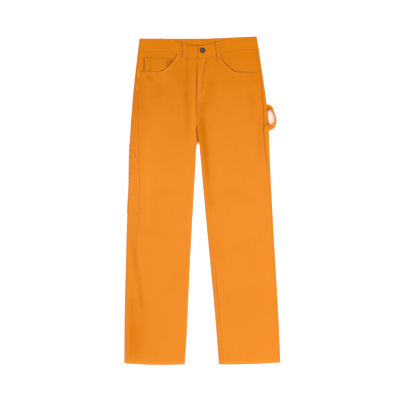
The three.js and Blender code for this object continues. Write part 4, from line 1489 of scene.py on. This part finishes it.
def sewFronts():
    for leg in legs:
        owner = "cloth_front_" + leg["name"]
        mouthA, mouthY = mouthLine(leg)
        for distance in topstitch["mouth"]:
            a, y = insetLine(mouthA, mouthY, distance)
            inside = (a < outseamAt(leg, y) - 0.8) & (y < bandEdgeAt(leg, a) - 0.8)
            points, normals = onTop(leg, a[inside], y[inside])
            points[:, 2] += gapeAt(leg, a[inside], y[inside])
            sew(owner, points, normals)
        inner = float(leg["inner"](topstitch["hemInner"]) + foldRadius + leg["inseamOver"])
        a = np.linspace(inner + 0.8, float(outseamAt(leg, hemRowLevel)) - 0.8, 80)
        sew(owner, *onTop(leg, a, hemAt(leg, a) + cut["hem"]))
        y = np.linspace(float(mouthY[-1]) - 2, topstitch["seamEnd"][leg["name"]], 160)
        sew(owner, *onTop(leg, outseamAt(leg, y) - topstitch["seam"], y))
    owner = "cloth_front_left"
    turn = np.linspace(0, math.pi / 2, 30)
    for inset in topstitch["fly"]:
        low, width = fly["low"] + inset + 1.5, fly["lowWidth"] - inset - 1.2
        curve = np.array([(width * math.cos(t) ** 0.9, low + fly["turn"] * (1 - math.sin(t))) for t in turn])
        straight = np.linspace(topstitch["flyTop"], curve[0, 1], 60)[:-1]
        a = np.concatenate([flyWidth(straight) - inset - 1.2, curve[:, 0]])
        y = np.concatenate([straight, curve[:, 1]])
        sew(owner, *onTop(leftLeg, a[a > 1.0], y[a > 1.0]))
    for inset, end in topstitch["centre"]:
        y = np.linspace(fly["low"] - 4, cut["crotch"] + end, 60)
        sew(owner, *onTop(leftLeg, np.full_like(y, inset), y))
    for a, above, length, turned in topstitch["tacks"]:
        barTack(owner, leftLeg, a, fly["low"] + above, length, 1.9, 0.05, turned)


def sewOnCoin(a, y, lift):
    points, normals = onTop(rightLeg, a, y)
    points[:, 2] += lift - 0.42
    sew("cloth_coin_pocket", points, normals)


def sewPockets():
    inner, outer = coin["inner"], coin["outer"]
    a = np.linspace(inner + 2.2, outer - 2.2, 60)
    for drop in topstitch["coinTop"]:
        sewOnCoin(a, coinTop(a) - drop, 0.05)
    for column in [outer - side for side in topstitch["coinSide"]] + [inner + topstitch["coinSide"][0]]:
        low = float(np.interp(column, *mouthLine(rightLeg))) + 2.0
        y = np.linspace(float(coinTop(column)) - 2.2, low, 20)
        sewOnCoin(np.full_like(y, column), y, 0.02)


def sewBand():
    inset = topstitch["band"] / cut["bandHeight"]
    for leg in legs:
        start = band["end"] + 2.4 if leg["side"] > 0 else 0.4
        for share in (inset, 1 - inset):
            sew("cloth_waistband", *bandRow(leg, share, start, float(leg["outer"](500)) - 8))
    points = [bandFace(leftLeg, np.array(band["end"] + 2.4), share) for share in np.linspace(0.07, 0.93, 30)]
    sew("cloth_waistband", points, [upwards] * len(points))


def sewBacks():
    for leg in legs:
        a = np.linspace(float(leg["inner"](hemRowLevel)) + 6, float(leg["outer"](hemRowLevel)) - 4, 80)
        y = hemAt(leg, a) + cut["hem"]
        points = inSpace(leg, a, y, underAt(leg, a, y) + 0.05)
        sew("cloth_back_" + leg["name"], points, [-upwards] * len(a), width=0.5)


sewFronts()
sewPockets()
sewBand()
sewBacks()
for owner, (points, faces) in stitchRows.items():
    points = np.array(points)
    points[:, 2] = np.maximum(points[:, 2], 0)
    seam = meshPiece(owner.replace("cloth", "stitching"), points, faces)
    dress(seam, threadFinish, "corduroy")
print("stitching sewn:", sum(len(p[1]) for p in stitchRows.values()), "faces")


# Floor, lights and camera
studio = {
    "floor": (0.93, 0.93, 0.93, 1),
    "glow": 0.3,
    "reach": 12.0,  # metres from the middle to the floor's edges
    "clear": 0.0006,  # how far below the trousers the floor lies
    "sky": 0.54,
    "lamps": {"key": ((6.0, -2.6, 7.5), 960.0), "fill": ((-5.0, 1.5, 8.0), 230.0)},
    "lampSize": 6.0,
    "cameraOver": (-0.008125, 0.0024375),
    "cameraHeight": 5.0,
    "cloth": 0.006,
    "width": 1.3,  # what the picture takes in at the cloth
}


def makeFloor():
    mesh = bpy.data.meshes.new("floor")
    reach = studio["reach"]
    corners = [(x * reach, y * reach, -studio["clear"]) for x, y in ((-1, -1), (1, -1), (1, 1), (-1, 1))]
    mesh.from_pydata(corners, [], [(0, 1, 2, 3)])
    floor = bpy.data.objects.new("floor", mesh)
    bpy.context.scene.collection.objects.link(floor)
    kit = Kit("floor_paper")
    mottle = kit.noise(kit.add("ShaderNodeTexCoord", {}, [], out="Object"), 3.0, 2.0)
    glow = {"Emission Color": studio["floor"], "Emission Strength": studio["glow"]}
    mesh.materials.append(kit.finish({"Base Color": studio["floor"], **glow}, Roughness=0.85 + mottle * 0.1))


def makeLights():
    world = bpy.data.worlds.new("studio")
    world.use_nodes = True
    sky = world.node_tree.nodes["Background"]
    sky.inputs["Color"].default_value = (1, 1, 1, 1)
    sky.inputs["Strength"].default_value = studio["sky"]
    bpy.context.scene.world = world
    for name, (place, power) in studio["lamps"].items():
        light = bpy.data.lights.new(name, "AREA")
        light.energy, light.size = power, studio["lampSize"]
        lamp = bpy.data.objects.new(name, light)
        lamp.location = place
        lamp.rotation_euler = (-Vector(place)).to_track_quat("-Z", "Y").to_euler()
        bpy.context.scene.collection.objects.link(lamp)
    bpy.context.scene.view_settings.view_transform = "Standard"


def makeCamera():
    # straight above
    lens = bpy.data.cameras.new("camera")
    lens.sensor_width = 36
    lens.lens = lens.sensor_width * studio["cameraHeight"] / studio["width"]
    camera = bpy.data.objects.new("camera", lens)
    camera.location = (*studio["cameraOver"], studio["cameraHeight"] + studio["cloth"])
    bpy.context.scene.collection.objects.link(camera)
    bpy.context.scene.camera = camera


makeFloor()
makeLights()
makeCamera()
print("studio ready")
